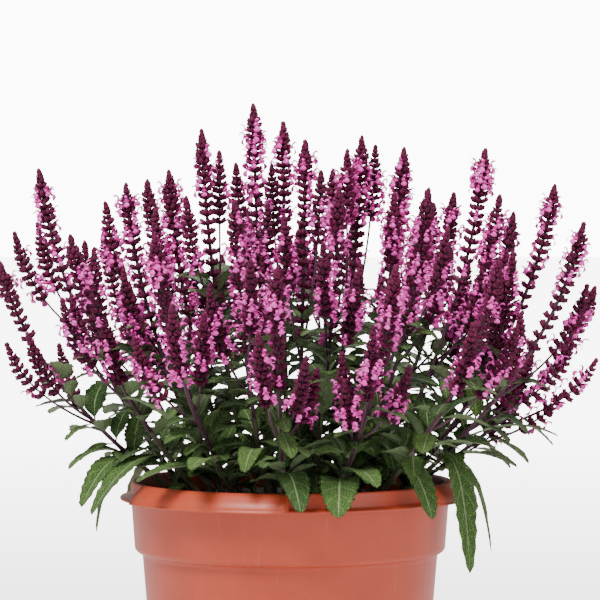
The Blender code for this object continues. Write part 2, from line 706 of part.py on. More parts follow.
def zipper(a, a_shares, b, b_shares):
    """Triangles between two lines of points that end in the same point."""
    i = 0
    j = 0
    faces = []
    while i < len(a) - 1 or j < len(b) - 1:
        take_a = j == len(b) - 1 or (i < len(a) - 1 and a_shares[i + 1] <= b_shares[j + 1])
        following = a[i + 1] if take_a else b[j + 1]
        if len({a[i], b[j], following}) == 3:
            faces.append((a[i], b[j], following))
        i += take_a
        j += not take_a
    return faces


def spike_plan(foot, spike, plain, draw, opens):
    """Shares, radii and bearings of a stem's last stretch, from its foot at share 0 to its tip.
    The florets stand in crossed pairs, closer together towards the tip."""
    whorls = max(3, round(spike / WHORL_STEP))
    shares = [foot * k / plain for k in range(plain)]
    radii = [SIDE_STEM_RADIUS] * plain
    bearings = [None] * plain
    for k in range(whorls + 1):
        along = k / whorls
        shares.append(foot + (1 - foot) * (1 - (1 - along) ** 1.25))
        radii.append(CORE_RADIUS * (1 - 0.35 * along**3))
        if k < whorls:
            bearing = [None] * 4
            for face in (k % 2, k % 2 + 2):
                opened = opens and 0.1 < along < 0.75 and draw.random() < 0.5
                bearing[face] = OPEN_FLORET_REACH if opened else FLORET_REACH * (1 - 0.4 * along**3)
            bearings.append(bearing)
    return shares, radii, bearings


def build_foliage(stem, leaves):
    """The green foot of a stem, from its hole in the soil to the cut, with its leaves."""
    own = [leaf for leaf in leaves if leaf["stem"] == stem["index"]]
    heights = [SOIL_TOP - STEM_SUNK, CROWN_TOP]
    bearings = [None, None]
    for height in sorted({leaf["height"] for leaf in own}):
        heights += [height - NODE_HALF, height + NODE_HALF]
        bearing = {leaf["face"]: leaf for leaf in own if leaf["height"] == height}
        bearings += [[bearing.get(face) for face in range(4)], None]
    heights.append(stem["cut"])
    skin = Skin()
    sections = [stem_section(stem, h, stem_radius(stem, h)) for h in heights]
    foot = skin.ring(sections[0])
    skin.faces.append(tuple(reversed(foot)))
    skin.faces.append(tuple(skin.stem(sections, bearings, low=foot)))
    return solid(f"foliage_{stem['index']:02d}", skin.points, skin.faces, "foliage")


def build_bloom(stem):
    """The dark flowering top: the stem above the cut, its spike and its side spikes."""
    draw = random.Random(100 + stem["index"])
    heights = [stem["cut"] + 0.06]
    bearings = [None]
    for side in sorted(stem["sides"], key=lambda s: s["height"]):
        side["draw"] = draw
        heights += [side["height"] - NODE_HALF, side["height"] + NODE_HALF]
        bearings += [[side if face == side["face"] else None for face in range(4)], None]
    low = stem["spike_foot"]
    high = stem["tip"][2]
    shares, radii, florets = spike_plan(0.0, high - low, 0, draw, True)
    sections = [stem_section(stem, h, stem_radius(stem, h)) for h in heights]
    sections += [stem_section(stem, low + (high - low) * s, r) for s, r in zip(shares, radii)]
    skin = Skin()
    foot = skin.ring(sections[0])
    skin.faces.append(tuple(reversed(foot)))
    last = skin.stem(sections, bearings + florets, low=foot)
    skin.tip(last, BUD_HEIGHT)
    return solid(f"bloom_{stem['index']:02d}", skin.points, skin.faces, "bloom")


def main():
    clear_scene()
    stems, taken = plan_stems()
    leaves = plan_leaves(stems, taken)
    build_pot()
    build_soil(stems)
    for stem in stems:
        build_foliage(stem, leaves)
        build_bloom(stem)


main()
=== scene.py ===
"""The looks of a clump of perennial salvia in its round plastic grower's pot."""

import itertools
import math
import random

import bmesh
import bpy
import numpy as np
from mathutils import Matrix, Vector


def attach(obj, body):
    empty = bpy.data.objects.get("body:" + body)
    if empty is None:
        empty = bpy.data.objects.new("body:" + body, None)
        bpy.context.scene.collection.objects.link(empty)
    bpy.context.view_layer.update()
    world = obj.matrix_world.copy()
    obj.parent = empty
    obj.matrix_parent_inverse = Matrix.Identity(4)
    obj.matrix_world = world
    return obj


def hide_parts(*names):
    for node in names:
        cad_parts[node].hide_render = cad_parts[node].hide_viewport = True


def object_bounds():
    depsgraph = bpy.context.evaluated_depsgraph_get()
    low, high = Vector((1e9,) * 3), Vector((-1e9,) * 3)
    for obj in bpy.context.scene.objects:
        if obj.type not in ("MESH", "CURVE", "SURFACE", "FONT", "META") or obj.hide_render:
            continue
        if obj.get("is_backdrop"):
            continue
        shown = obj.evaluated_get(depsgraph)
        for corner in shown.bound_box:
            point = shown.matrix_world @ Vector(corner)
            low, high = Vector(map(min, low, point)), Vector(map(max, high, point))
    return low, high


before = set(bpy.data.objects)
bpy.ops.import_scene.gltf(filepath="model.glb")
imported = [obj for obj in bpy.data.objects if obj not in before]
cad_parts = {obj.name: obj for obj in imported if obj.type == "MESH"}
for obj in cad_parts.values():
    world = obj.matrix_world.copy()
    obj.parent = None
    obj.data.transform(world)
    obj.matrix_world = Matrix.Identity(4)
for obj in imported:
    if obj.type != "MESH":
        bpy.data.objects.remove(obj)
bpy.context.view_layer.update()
CM = 0.01

# Camera
# It stands 2.5 m in front of the pot's axis at the height of the upper leaves, and looks down a
# little. The picture cuts the pot off below its shoulder, as the photograph does.
CAMERA_PLACE = (0.0085, -2.5, 0.4465)
CAMERA_DIP = 1.447
CAMERA_LENS = 176.0
CAMERA_SENSOR = 36.0


def in_scene(name, data):
    """An object of this data, linked into the scene."""
    made = bpy.data.objects.new(name, data)
    bpy.context.scene.collection.objects.link(made)
    return made


camera = in_scene("camera", bpy.data.cameras.new("camera"))
camera.location = CAMERA_PLACE
camera.rotation_euler = (math.radians(90 - CAMERA_DIP), 0, 0)
camera.data.lens = CAMERA_LENS
camera.data.sensor_width = CAMERA_SENSOR
bpy.context.scene.camera = camera


# Studio
# A wide white floor that runs into an even white surround, both bright enough to read as white
# paper, and large soft lamps above and on both sides.
FLOOR_REACH = 40.0
FLOOR_COLOUR = (0.86, 0.84, 0.845)
FLOOR_SPECKLE = 1.02
FLOOR_GLOW_COLOUR = (0.95, 0.925, 0.93)
# How bright the paper reads near the pot and far behind it, at these distances in metres.
FLOOR_GLOW = (1.3, 7.5)
FLOOR_GLOW_REACH = (0.5, 4.0)
SURROUND_COLOUR = (0.98, 0.97, 0.975)
SURROUND_STRENGTH = 0.70
SURROUND_GLOW = 11.0
# Each lamp's name, its place and width in metres, and its power in watts.
LAMPS = (
    ("key_lamp", (-0.8, -1.3, 2.6), 1.1, 105.0),
    ("fill_lamp", (2.0, -1.9, 1.1), 1.8, 22.0),
    ("back_lamp", (0.3, 2.0, 2.2), 2.0, 44.0),
)
LAMP_AIM = (0, 0, 0.33)


def add(tree, kind, inputs=None, **settings):
    """Adds a node. An input is a value, a colour of three numbers, or an output to link from."""
    node = tree.nodes.new(kind)
    for name, value in settings.items():
        setattr(node, name, value)
    for name, value in (inputs or {}).items():
        socket = node.inputs[name]
        if isinstance(value, bpy.types.NodeSocket):
            tree.links.new(value, socket)
        else:
            socket.default_value = (*value, 1) if socket.type == "RGBA" else value
    return node


def maths(tree, kind, *values):
    return add(tree, "ShaderNodeMath", dict(enumerate(values)), operation=kind).outputs["Value"]


def between(tree, value, low, high, to_low, to_high):
    """Turns the range from low to high into another range, and stays within it."""
    limits = {"From Min": low, "From Max": high, "To Min": to_low, "To Max": to_high}
    return add(tree, "ShaderNodeMapRange", {"Value": value, **limits}).outputs["Result"]


def blend(tree, share, a, b):
    mixed = add(tree, "ShaderNodeMix", {"Factor": share, "A": a, "B": b}, data_type="RGBA")
    return mixed.outputs["Result"]


def over_surface(tree):
    """Where each point of a surface lies, in metres."""
    return add(tree, "ShaderNodeTexCoord").outputs["Object"]


def new_material(name, **shader_values):
    """A material with its Principled shader, whose unlinked values are set here."""
    material = bpy.data.materials.new(name)
    material.use_nodes = True
    shader = material.node_tree.nodes["Principled BSDF"]
    for socket, value in shader_values.items():
        shader.inputs[socket.replace("_", " ")].default_value = value
    return material, material.node_tree, shader


def object_from(name, points, faces, material, smooth=True):
    """An object from points in centimetres, at the origin."""
    mesh = bpy.data.meshes.new(name)
    mesh.from_pydata((np.asarray(points, float) * CM).tolist(), [], faces)
    mesh.polygons.foreach_set("use_smooth", [smooth] * len(mesh.polygons))
    mesh.materials.append(material)
    return in_scene(name, mesh)


def seen_directly(tree):
    """1 where the camera looks straight at the paper, 0 where the paper only lights the plant."""
    return add(tree, "ShaderNodeLightPath").outputs["Is Camera Ray"]


floor_paint, tree, shader = new_material("floor_paint", Roughness=0.9)
speckle = add(tree, "ShaderNodeTexNoise", {"Scale": 14.0, "Detail": 4.0}).outputs["Fac"]
paler = tuple(c * FLOOR_SPECKLE for c in FLOOR_COLOUR)
tree.links.new(blend(tree, speckle, FLOOR_COLOUR, paler), shader.inputs["Base Color"])
shader.inputs["Emission Color"].default_value = (*FLOOR_GLOW_COLOUR, 1)
away = add(tree, "ShaderNodeVectorMath", {0: over_surface(tree)}, operation="LENGTH")
glow = between(tree, away.outputs["Value"], *FLOOR_GLOW_REACH, *FLOOR_GLOW)
glow = maths(tree, "MULTIPLY", seen_directly(tree), glow)
tree.links.new(glow, shader.inputs["Emission Strength"])
reach = FLOOR_REACH / CM
corners = [(-reach, -reach, 0), (reach, -reach, 0), (reach, reach, 0), (-reach, reach, 0)]
object_from("floor", corners, [(0, 1, 2, 3)], floor_paint, smooth=False)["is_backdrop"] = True

surround = bpy.data.worlds.new("surround")
surround.use_nodes = True
tree = surround.node_tree
tree.nodes["Background"].inputs["Color"].default_value = (*SURROUND_COLOUR, 1)
glow = maths(tree, "MULTIPLY_ADD", seen_directly(tree), SURROUND_GLOW, SURROUND_STRENGTH)
tree.links.new(glow, tree.nodes["Background"].inputs["Strength"])
bpy.context.scene.world = surround

for name, place, size, power in LAMPS:
    lamp = in_scene(name, bpy.data.lights.new(name, "AREA"))
    lamp.data.shape = "DISK"
    lamp.data.size = size
    lamp.data.energy = power
    lamp.location = place
    aim = Vector(LAMP_AIM) - Vector(place)
    lamp.rotation_euler = aim.to_track_quat("-Z", "Y").to_euler()


# Pot
# One injection moulding in satin terracotta-coloured plastic: a foot, a body that widens a little,
# a stepped shoulder, and a rim with a thin bead all round and three leaning grips above it.
POT_FOOT_RADIUS = 11.2
POT_BODY_RADIUS = 12.6
POT_BODY_TOP = 16.85
POT_SHOULDER_RADIUS = 13.25
POT_SHOULDER_LOW = 17.45
POT_NECK_RADIUS = 13.55
POT_RIM_LOW = 21.45
POT_BEAD_RADIUS = 14.5
POT_GRIP_RADIUS = 15.0
POT_GRIP_TOP_RADIUS = 13.95
POT_HEIGHT = 23.0
POT_WALL = 0.3
POT_FLOOR = 0.35
# Each grip's start and its span round the rim, and how fast it rises at its ends, in degrees.
GRIP_STARTS = (-34.4, 85.6, 205.6)
GRIP_SPAN = 64.4
GRIP_EASE = 1.3
POT_STEP = 2
POT_CREASE = 50
DRAIN_RADIUS = 0.6
DRAIN_RING = 8.0
DRAIN_HOLES = 6
POT_COLOURS = ((0.400, 0.048, 0.019), (0.470, 0.064, 0.026))
DUST_COLOUR = (0.60, 0.24, 0.15)


def grip_share(angle):
    """How far the rim stands out as a grip at this angle in degrees, from 0 to 1."""
    share = 0.0
    for start in GRIP_STARTS:
        past = (angle - start) % 360
        ease_in = min(past, (GRIP_SPAN - past) % 360)
        if past <= GRIP_SPAN:
            share = max(share, min(1.0, ease_in / GRIP_EASE))
    return math.sqrt(1 - (1 - share) ** 2)


def pot_profile(grip):
    """The wall's section, up the outside and down the inside, where the grip share is known."""
    foot, body, shoulder = POT_FOOT_RADIUS, POT_BODY_RADIUS, POT_SHOULDER_RADIUS
    neck, edge, crest = POT_NECK_RADIUS, POT_GRIP_RADIUS, POT_GRIP_TOP_RADIUS
    body_top, shoulder_low, low, top = POT_BODY_TOP, POT_SHOULDER_LOW, POT_RIM_LOW, POT_HEIGHT
    inner_neck = neck - POT_WALL
    bead = POT_BEAD_RADIUS + (edge - POT_BEAD_RADIUS) * grip
    plain_rim = (
        (bead - 0.14, low), (bead - 0.03, low + 0.02), (bead, low + 0.07), (bead, low + 0.13),
        (bead - 0.05, low + 0.19), (bead - 0.14, low + 0.23), (neck + 0.2, low + 0.27),
        (neck + 0.04, low + 0.34), (neck, low + 0.5), (neck, top - 0.2),
        (neck - 0.03, top - 0.06), (neck - 0.1, top),
    )
    grip_rim = plain_rim[:5] + (
        (edge - 0.1, low + 0.23), (edge - 0.12, low + 0.3), (edge - 0.15, low + 0.45),
        (edge - 0.5, low + 0.9), (crest + 0.07, top - 0.24), (crest - 0.1, top - 0.07),
        (crest - 0.3, top),
    )
    rim = [
        (r + (grip_r - r) * grip, z + (grip_z - z) * grip)
        for (r, z), (grip_r, grip_z) in zip(plain_rim, grip_rim)
    ]
    return (
        (0.0, 0.0), (foot - 0.9, 0.0), (foot - 0.3, 0.0), (foot - 0.09, 0.09), (foot, 0.3),
        (foot + 0.4 * (body - foot), 0.4 * body_top),
        (body - 0.03, body_top - 0.35), (body, body_top - 0.04), (body + 0.08, body_top + 0.03),
        (body + 0.34, body_top + 0.10), (shoulder - 0.12, body_top + 0.24),
        (shoulder - 0.02, shoulder_low - 0.2), (shoulder, shoulder_low),
        (neck - 0.02, low - 0.3), (neck + 0.04, low - 0.06),
        *rim,
        (inner_neck + 0.12, top), (inner_neck + 0.03, top - 0.05), (inner_neck, top - 0.2),
        (inner_neck, low),
        (shoulder - POT_WALL, shoulder_low + 0.15),
        (body - POT_WALL, body_top + 0.15),
        (foot - POT_WALL, POT_FLOOR),
        (0.0, POT_FLOOR),
    )


def pot_angles():
    """Even steps round the pot, with more of them where a grip begins and ends."""
    angles = {float(a) for a in range(0, 360, POT_STEP)}
    for start in GRIP_STARTS:
        for past in (0.0, 0.1, 0.35, 0.7, GRIP_EASE):
            angles |= {(start + past) % 360, (start + GRIP_SPAN - past) % 360}
    return sorted(angles)


def turned_points(profile_at, angles):
    """Rows of points round the Z axis, one row for each point of a profile."""
    columns = []
    for angle in angles:
        cos, sin = math.cos(math.radians(angle)), math.sin(math.radians(angle))
        columns.append([(r * cos, r * sin, z) for r, z in profile_at(angle)])
    return [[column[row] for column in columns] for row in range(len(columns[0]))]


def turned_mesh(rows):
    """Joins the rows into a closed skin. The first and last row are poles."""
    sides = len(rows[0])
    points = [rows[0][0]]
    for row in rows[1:-1]:
        points += row
    points.append(rows[-1][0])
    last = len(points) - 1
    faces = []
    for i in range(sides):
        j = (i + 1) % sides
        faces.append((0, 1 + j, 1 + i))
        for k in range(len(rows) - 3):
            low, high = 1 + k * sides, 1 + (k + 1) * sides
            faces.append((low + i, low + j, high + j, high + i))
        top = 1 + (len(rows) - 3) * sides
        faces.append((top + i, top + j, last))
    return points, faces


def mottle_group():
    """A cloudy change from a dark to a light colour, for plastic, soil and plant alike. The cloud's
    weight and a shift make a share, and the colour is dark at Low and light at High."""
    group = bpy.data.node_groups.new("mottle", "ShaderNodeTree")
    for way, kind, names in (
        ("INPUT", "Vector", ("Place",)),
        ("INPUT", "Float", ("Scale", "Detail", "Cloudiness", "Shift", "Low", "High")),
        ("INPUT", "Color", ("Dark", "Light")),
        ("OUTPUT", "Color", ("Colour",)),
        ("OUTPUT", "Float", ("Cloud",)),
    ):
        for name in names:
            group.interface.new_socket(name, in_out=way, socket_type="NodeSocket" + kind)
    given = add(group, "NodeGroupInput").outputs
    cloud = add(
        group, "ShaderNodeTexNoise",
        {"Vector": given["Place"], "Scale": given["Scale"], "Detail": given["Detail"]},
    ).outputs["Fac"]
    share = maths(group, "MULTIPLY_ADD", cloud, given["Cloudiness"], given["Shift"])
    light = between(group, share, given["Low"], given["High"], 0.0, 1.0)
    colour = blend(group, light, given["Dark"], given["Light"])
    add(group, "NodeGroupOutput", {"Colour": colour, "Cloud": cloud})
    return group


mottle = mottle_group()


def mottled(tree, scale, detail, colours, limits, cloudiness=1.0, shift=0.0):
    """A mottled colour over a surface, and the cloud that it follows."""
    node = add(
        tree, "ShaderNodeGroup",
        {"Place": over_surface(tree), "Scale": scale, "Detail": detail, "Cloudiness": cloudiness,
         "Shift": shift, "Low": limits[0], "High": limits[1], "Dark": colours[0],
         "Light": colours[1]},
        node_tree=mottle,
    )
    return node.outputs["Colour"], node.outputs["Cloud"]


def raise_skin(tree, shader, height, strength, distance):
    relief = {"Height": height, "Strength": strength, "Distance": distance}
    bump = add(tree, "ShaderNodeBump", relief)
    tree.links.new(bump.outputs["Normal"], shader.inputs["Normal"])


def plastic_of_pot():
    """Coloured through, with a fine moulded grain, faint handling marks and dust on them."""
    material, tree, shader = new_material("pot_plastic", Specular_IOR_Level=0.42)
    place = over_surface(tree)
    grain = add(tree, "ShaderNodeTexNoise", {"Vector": place, "Scale": 900.0, "Detail": 2.0})
    stretched = add(tree, "ShaderNodeMapping", {"Vector": place, "Scale": (1.0, 1.0, 0.06)})
    marks = add(
        tree, "ShaderNodeTexNoise",
        {"Vector": stretched.outputs["Vector"], "Scale": 150.0, "Detail": 6.0, "Roughness": 0.7},
    ).outputs["Fac"]
    clean, _ = mottled(tree, 16.0, 5.0, POT_COLOURS, (0.3, 0.75))
    dusty = blend(tree, between(tree, marks, 0.60, 0.78, 0.0, 0.22), clean, DUST_COLOUR)
    tree.links.new(dusty, shader.inputs["Base Color"])
    tree.links.new(between(tree, marks, 0.0, 1.0, 0.34, 0.50), shader.inputs["Roughness"])
    raise_skin(tree, shader, grain.outputs["Fac"], 0.12, 0.0004)
    return material


rows = turned_points(lambda angle: pot_profile(grip_share(angle)), pot_angles())
pot = object_from("pot_moulding", *turned_mesh(rows), plastic_of_pot())
drains = bmesh.new()
for k in range(DRAIN_HOLES):
    angle = 2 * math.pi * k / DRAIN_HOLES
    middle = Vector((math.cos(angle), math.sin(angle), 0)) * DRAIN_RING * CM
    bmesh.ops.create_cone(
        drains, cap_ends=True, segments=24, radius1=DRAIN_RADIUS * CM, radius2=DRAIN_RADIUS * CM,
        depth=0.04, matrix=Matrix.Translation(middle),
    )
drain_mesh = bpy.data.meshes.new("drains")
drains.to_mesh(drain_mesh)
drains.free()
cutter = in_scene("drains", drain_mesh)
cut = pot.modifiers.new("drain_holes", "BOOLEAN")
cut.operation = "DIFFERENCE"
cut.object = cutter
with bpy.context.temp_override(object=pot, active_object=pot):
    bpy.ops.object.modifier_apply(modifier=cut.name)
bpy.data.objects.remove(cutter)
pot.data.set_sharp_from_angle(angle=math.radians(POT_CREASE))
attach(pot, "root")
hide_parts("pot")


# Soil
# Dark, moist potting mix to a little under the rim, with a crumbly top of bark and peat.
SOIL_TOP = 21.2
SOIL_SIDES = 120
SOIL_RADII = tuple(0.35 * k for k in range(1, 37))
SOIL_SLACK = 0.06
SOIL_ROUGHNESS = 0.13
SOIL_COLOURS = ((0.012, 0.008, 0.006), (0.075, 0.048, 0.030))
CRUMBS = 900
CRUMB_SIZE = (0.10, 0.34)
CRUMB_REACH = 12.3
CRUMB_POINTS = (
    (0.5, 0, 0), (0, 0.42, 0.1), (-0.5, 0, 0), (0, -0.4, -0.1), (0, 0, 0.33), (0.1, 0, -0.3),
)
CRUMB_FACES = (
    (0, 1, 4), (1, 2, 4), (2, 3, 4), (3, 0, 4), (1, 0, 5), (2, 1, 5), (3, 2, 5), (0, 3, 5),
)


def soil_of_pot():
    material, tree, shader = new_material("potting_soil", Roughness=0.95)
    colour, _ = mottled(tree, 60.0, 8.0, SOIL_COLOURS, (0.35, 0.72))
    tree.links.new(colour, shader.inputs["Base Color"])
    crumb = add(tree, "ShaderNodeTexVoronoi", {"Vector": over_surface(tree), "Scale": 260.0})
    raise_skin(tree, shader, crumb.outputs["Distance"], 0.8, 0.001)
    return material


def soil_rows():
    """The block of soil: up its side, then inwards over its uneven top."""
    draw = random.Random(3)
    inner = (
        (POT_FOOT_RADIUS, POT_FLOOR + 0.05),
        (POT_BODY_RADIUS, POT_BODY_TOP + 0.1),
        (POT_SHOULDER_RADIUS, POT_SHOULDER_LOW + 0.2),
        (POT_NECK_RADIUS, SOIL_TOP - 0.15),
    )
    profile = [(0.0, POT_FLOOR + 0.05)]
    profile += [(radius - POT_WALL - SOIL_SLACK, height) for radius, height in inner]
    profile += [(radius, SOIL_TOP) for radius in reversed(SOIL_RADII)] + [(0.0, SOIL_TOP)]
    angles = [360 * k / SOIL_SIDES for k in range(SOIL_SIDES)]
    rows = turned_points(lambda angle: profile, angles)
    for row in rows[len(inner) + 1:-1]:
        for i, (x, y, z) in enumerate(row):
            row[i] = (x, y, z + draw.uniform(-1, 1) * SOIL_ROUGHNESS)
    return rows


soil_material = soil_of_pot()
soil = object_from("soil_block", *turned_mesh(soil_rows()), soil_material)
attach(soil, "root")
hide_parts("soil")


def placed(name, template, places, material):
    """Copies a small template to many places by Geometry Nodes, and makes one plain mesh of them.
    Each place is (point in cm, 3 by 3 turn, size, tone)."""
    marks = bpy.data.meshes.new(name + "_places")
    marks.from_pydata([tuple(point * CM) for point, _, _, _ in places], [], [])
    turns = [tuple(Matrix(turn.tolist()).to_euler()) for _, turn, _, _ in places]
    for key, kind, field, values in (
        ("turn", "FLOAT_VECTOR", "vector", [c for turn in turns for c in turn]),
        ("size", "FLOAT", "value", [size for _, _, size, _ in places]),
        ("tone", "FLOAT", "value", [tone for _, _, _, tone in places]),
    ):
        marks.attributes.new(key, kind, "POINT").data.foreach_set(field, values)
    holder = in_scene(name + "_holder", marks)
    tree = bpy.data.node_groups.new(name, "GeometryNodeTree")
    new_socket = tree.interface.new_socket
    new_socket("Places", in_out="INPUT", socket_type="NodeSocketGeometry")
    template_socket = new_socket("Template", in_out="INPUT", socket_type="NodeSocketObject")
    new_socket("Pieces", in_out="OUTPUT", socket_type="NodeSocketGeometry")
    ends = add(tree, "NodeGroupInput")
    shape = add(tree, "GeometryNodeObjectInfo", {"Object": ends.outputs["Template"]})
    turn = add(tree, "GeometryNodeInputNamedAttribute", {"Name": "turn"}, data_type="FLOAT_VECTOR")
    size = add(tree, "GeometryNodeInputNamedAttribute", {"Name": "size"}, data_type="FLOAT")
    euler = add(tree, "FunctionNodeEulerToRotation", {"Euler": turn.outputs["Attribute"]})
    spots = add(tree, "GeometryNodeMeshToPoints", {"Mesh": ends.outputs["Places"]})
    copies = add(
        tree, "GeometryNodeInstanceOnPoints",
        {"Points": spots.outputs["Points"], "Instance": shape.outputs["Geometry"],
         "Rotation": euler.outputs["Rotation"], "Scale": size.outputs["Attribute"]},
    )
    real = add(tree, "GeometryNodeRealizeInstances", {"Geometry": copies.outputs["Instances"]})
    dressed = add(
        tree, "GeometryNodeSetMaterial",
        {"Geometry": real.outputs["Geometry"], "Material": material},
    )
    add(tree, "NodeGroupOutput", {"Pieces": dressed.outputs["Geometry"]})
    grow = holder.modifiers.new("grow", "NODES")
    grow.node_group = tree
    grow[template_socket.identifier] = template
    holder.update_tag()
    bpy.context.view_layer.update()
    seen = holder.evaluated_get(bpy.context.evaluated_depsgraph_get())
    mesh = bpy.data.meshes.new_from_object(seen)
    holder.modifiers.clear()
    bpy.data.objects.remove(holder)
    return in_scene(name, mesh)


def any_turn(draw):
    """A random turn in space as a 3 by 3 array."""
    q = np.array([draw.gauss(0, 1) for _ in range(9)]).reshape(3, 3)
    q, _ = np.linalg.qr(q)
    return q * np.sign(np.linalg.det(q))


crumb_template = object_from("crumb", CRUMB_POINTS, CRUMB_FACES, soil_material)
draw = random.Random(11)
crumb_places = []
for k in range(CRUMBS):
    radius, angle = CRUMB_REACH * math.sqrt(draw.random()), draw.uniform(0, 2 * math.pi)
    spot = np.array((radius * math.cos(angle), radius * math.sin(angle), SOIL_TOP + 0.04))
    crumb_places.append((spot, any_turn(draw), draw.uniform(*CRUMB_SIZE), draw.random()))
crumbs = placed("soil_crumbs", crumb_template, crumb_places, soil_material)
bpy.data.objects.remove(crumb_template)
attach(crumbs, "root")


# Planting plan
# Where every stem, side spike and large leaf of the clump goes, by the rules that the solids were
# made by. Stems lean out from the crown, leaves stand in crossed pairs, and none runs into another.
STEM_SUNK = 1.6
CROWN_TOP = 21.5
STEM_RADIUS = 0.27
STEM_TIP_RADIUS = 0.16
SIDE_STEM_RADIUS = 0.12
STEM_LEAN = 1.7
CROWN_SPREAD = 0.40
CROWN_RADIUS = 9.2
SPIKE_ROOM = 0.92
# A side spike leaves its stem this far below its tip at most, or this share of the tip's height.
SIDE_RISE_LONGEST = 9.0
SIDE_RISE_SHARE = 0.5
# How much of a side stem bears flowers, and the most of it in centimetres.
SIDE_SPIKE_SHARE = 0.66
SIDE_SPIKE_LONGEST = 5.6
SIDE_NODES_APART = 0.45
SIDE_ELBOW = np.array((0.8, 0.8, 0.36))
SIDE_SAMPLES = 40
SIDE_SPIKE_ROOM = 0.66
# How far before or behind its stem a side spike ends, to try in order.
SIDE_DEPTHS = (1.5, -1.5, 2.2, -2.2, 3.0, -3.0, 3.8, -3.8, 4.6, -4.6)
# Further side spikes of a stem: how many are tried and how many stay, how far aside they end and
# how far below its tip.
LATE_TRIES = 8
LATE_SPIKES = 2
LATE_ASIDE = (1.4, 3.4)
LATE_BELOW = (5.0, 11.0)

# Each flowering stem, in centimetres: where its tip stands (x, y, z), the length of its flower
# spike, and the tips (x, z) of the side spikes that it bears.
STEMS = (
    ((-24.3, -3.0, 41.1), 6.5, ((-21.8, 35.3), (-19.6, 34.2))),
    ((-21.6, 3.0, 49.0), 13.0, ((-21.9, 44.4), (-18.6, 38.4))),
    ((-18.1, -7.0, 43.4), 9.5, ((-16.0, 42.4), (-15.2, 36.9))),
    ((-13.8, -2.5, 47.7), 13.5, ((-15.6, 46.1), (-13.9, 40.6))),
    ((-12.6, 9.0, 48.2), 12.0, ((-14.6, 40.1), (-11.0, 41.5))),
    ((-10.4, 2.5, 48.9), 14.5, ((-11.6, 45.5), (-13.1, 36.4))),
    ((-7.4, -3.5, 52.2), 15.0, ((-8.6, 46.6), (-6.0, 50.3))),
    ((-3.1, 0.0, 54.5), 17.5, ((-4.6, 49.4), (-1.9, 46.0))),
    ((-0.6, 6.5, 53.2), 16.0, ((-1.6, 49.4), (-2.6, 43.6))),
    ((1.3, -4.0, 51.3), 16.5, ((2.6, 48.6), (-0.4, 44.8))),
    ((6.2, 4.0, 51.9), 16.0, ((4.9, 50.5), (7.4, 50.9))),
    ((9.6, -2.5, 50.7), 12.5, ((8.7, 46.9), (10.9, 42.0))),
    ((11.3, -10.0, 47.2), 11.5, ((12.8, 44.0), (9.9, 41.0))),
    ((14.2, 5.5, 47.0), 13.0, ((12.6, 46.0), (15.4, 41.0))),
    ((16.4, -3.0, 50.6), 14.5, ((17.5, 46.7), (14.9, 40.2))),
    ((19.3, 4.5, 45.3), 12.5, ((17.7, 43.8), (18.1, 37.6))),
    ((22.4, -1.0, 47.6), 15.5, ((20.6, 34.6), (18.1, 36.4))),
    ((24.2, -7.5, 44.4), 10.5, ((24.7, 39.3), (20.2, 33.6))),
    ((26.2, 3.5, 38.9), 8.5, ((23.2, 30.1), (19.9, 29.9))),
    ((4.0, -12.5, 47.2), 13.0, ((2.7, 42.8), (5.4, 40.5))),
    ((-4.4, -13.5, 46.2), 13.0, ((-3.1, 41.5), (-6.4, 39.5))),
    ((-10.8, -14.5, 43.6), 11.5, ((-12.6, 35.2), (-9.4, 37.8))),
    ((-1.0, -19.5, 40.8), 9.5, ((1.3, 34.0), (-2.4, 35.8))),
    ((8.4, -18.0, 41.0), 10.0, ((9.6, 33.0), (6.6, 36.2))),
    ((16.8, -14.5, 41.6), 10.5, ((14.6, 36.5), (18.4, 36.0))),
    ((-16.8, 14.0, 43.6), 11.0, ((-18.3, 38.5), (-14.8, 38.0))),
    ((-4.0, 18.5, 45.6), 12.0, ((-6.3, 41.5), (-2.2, 39.0))),
    ((11.5, 16.5, 45.0), 12.0, ((13.6, 40.5), (9.4, 38.6))),
    ((3.8, 12.5, 49.2), 13.5, ((5.6, 44.8), (2.2, 42.6))),
)

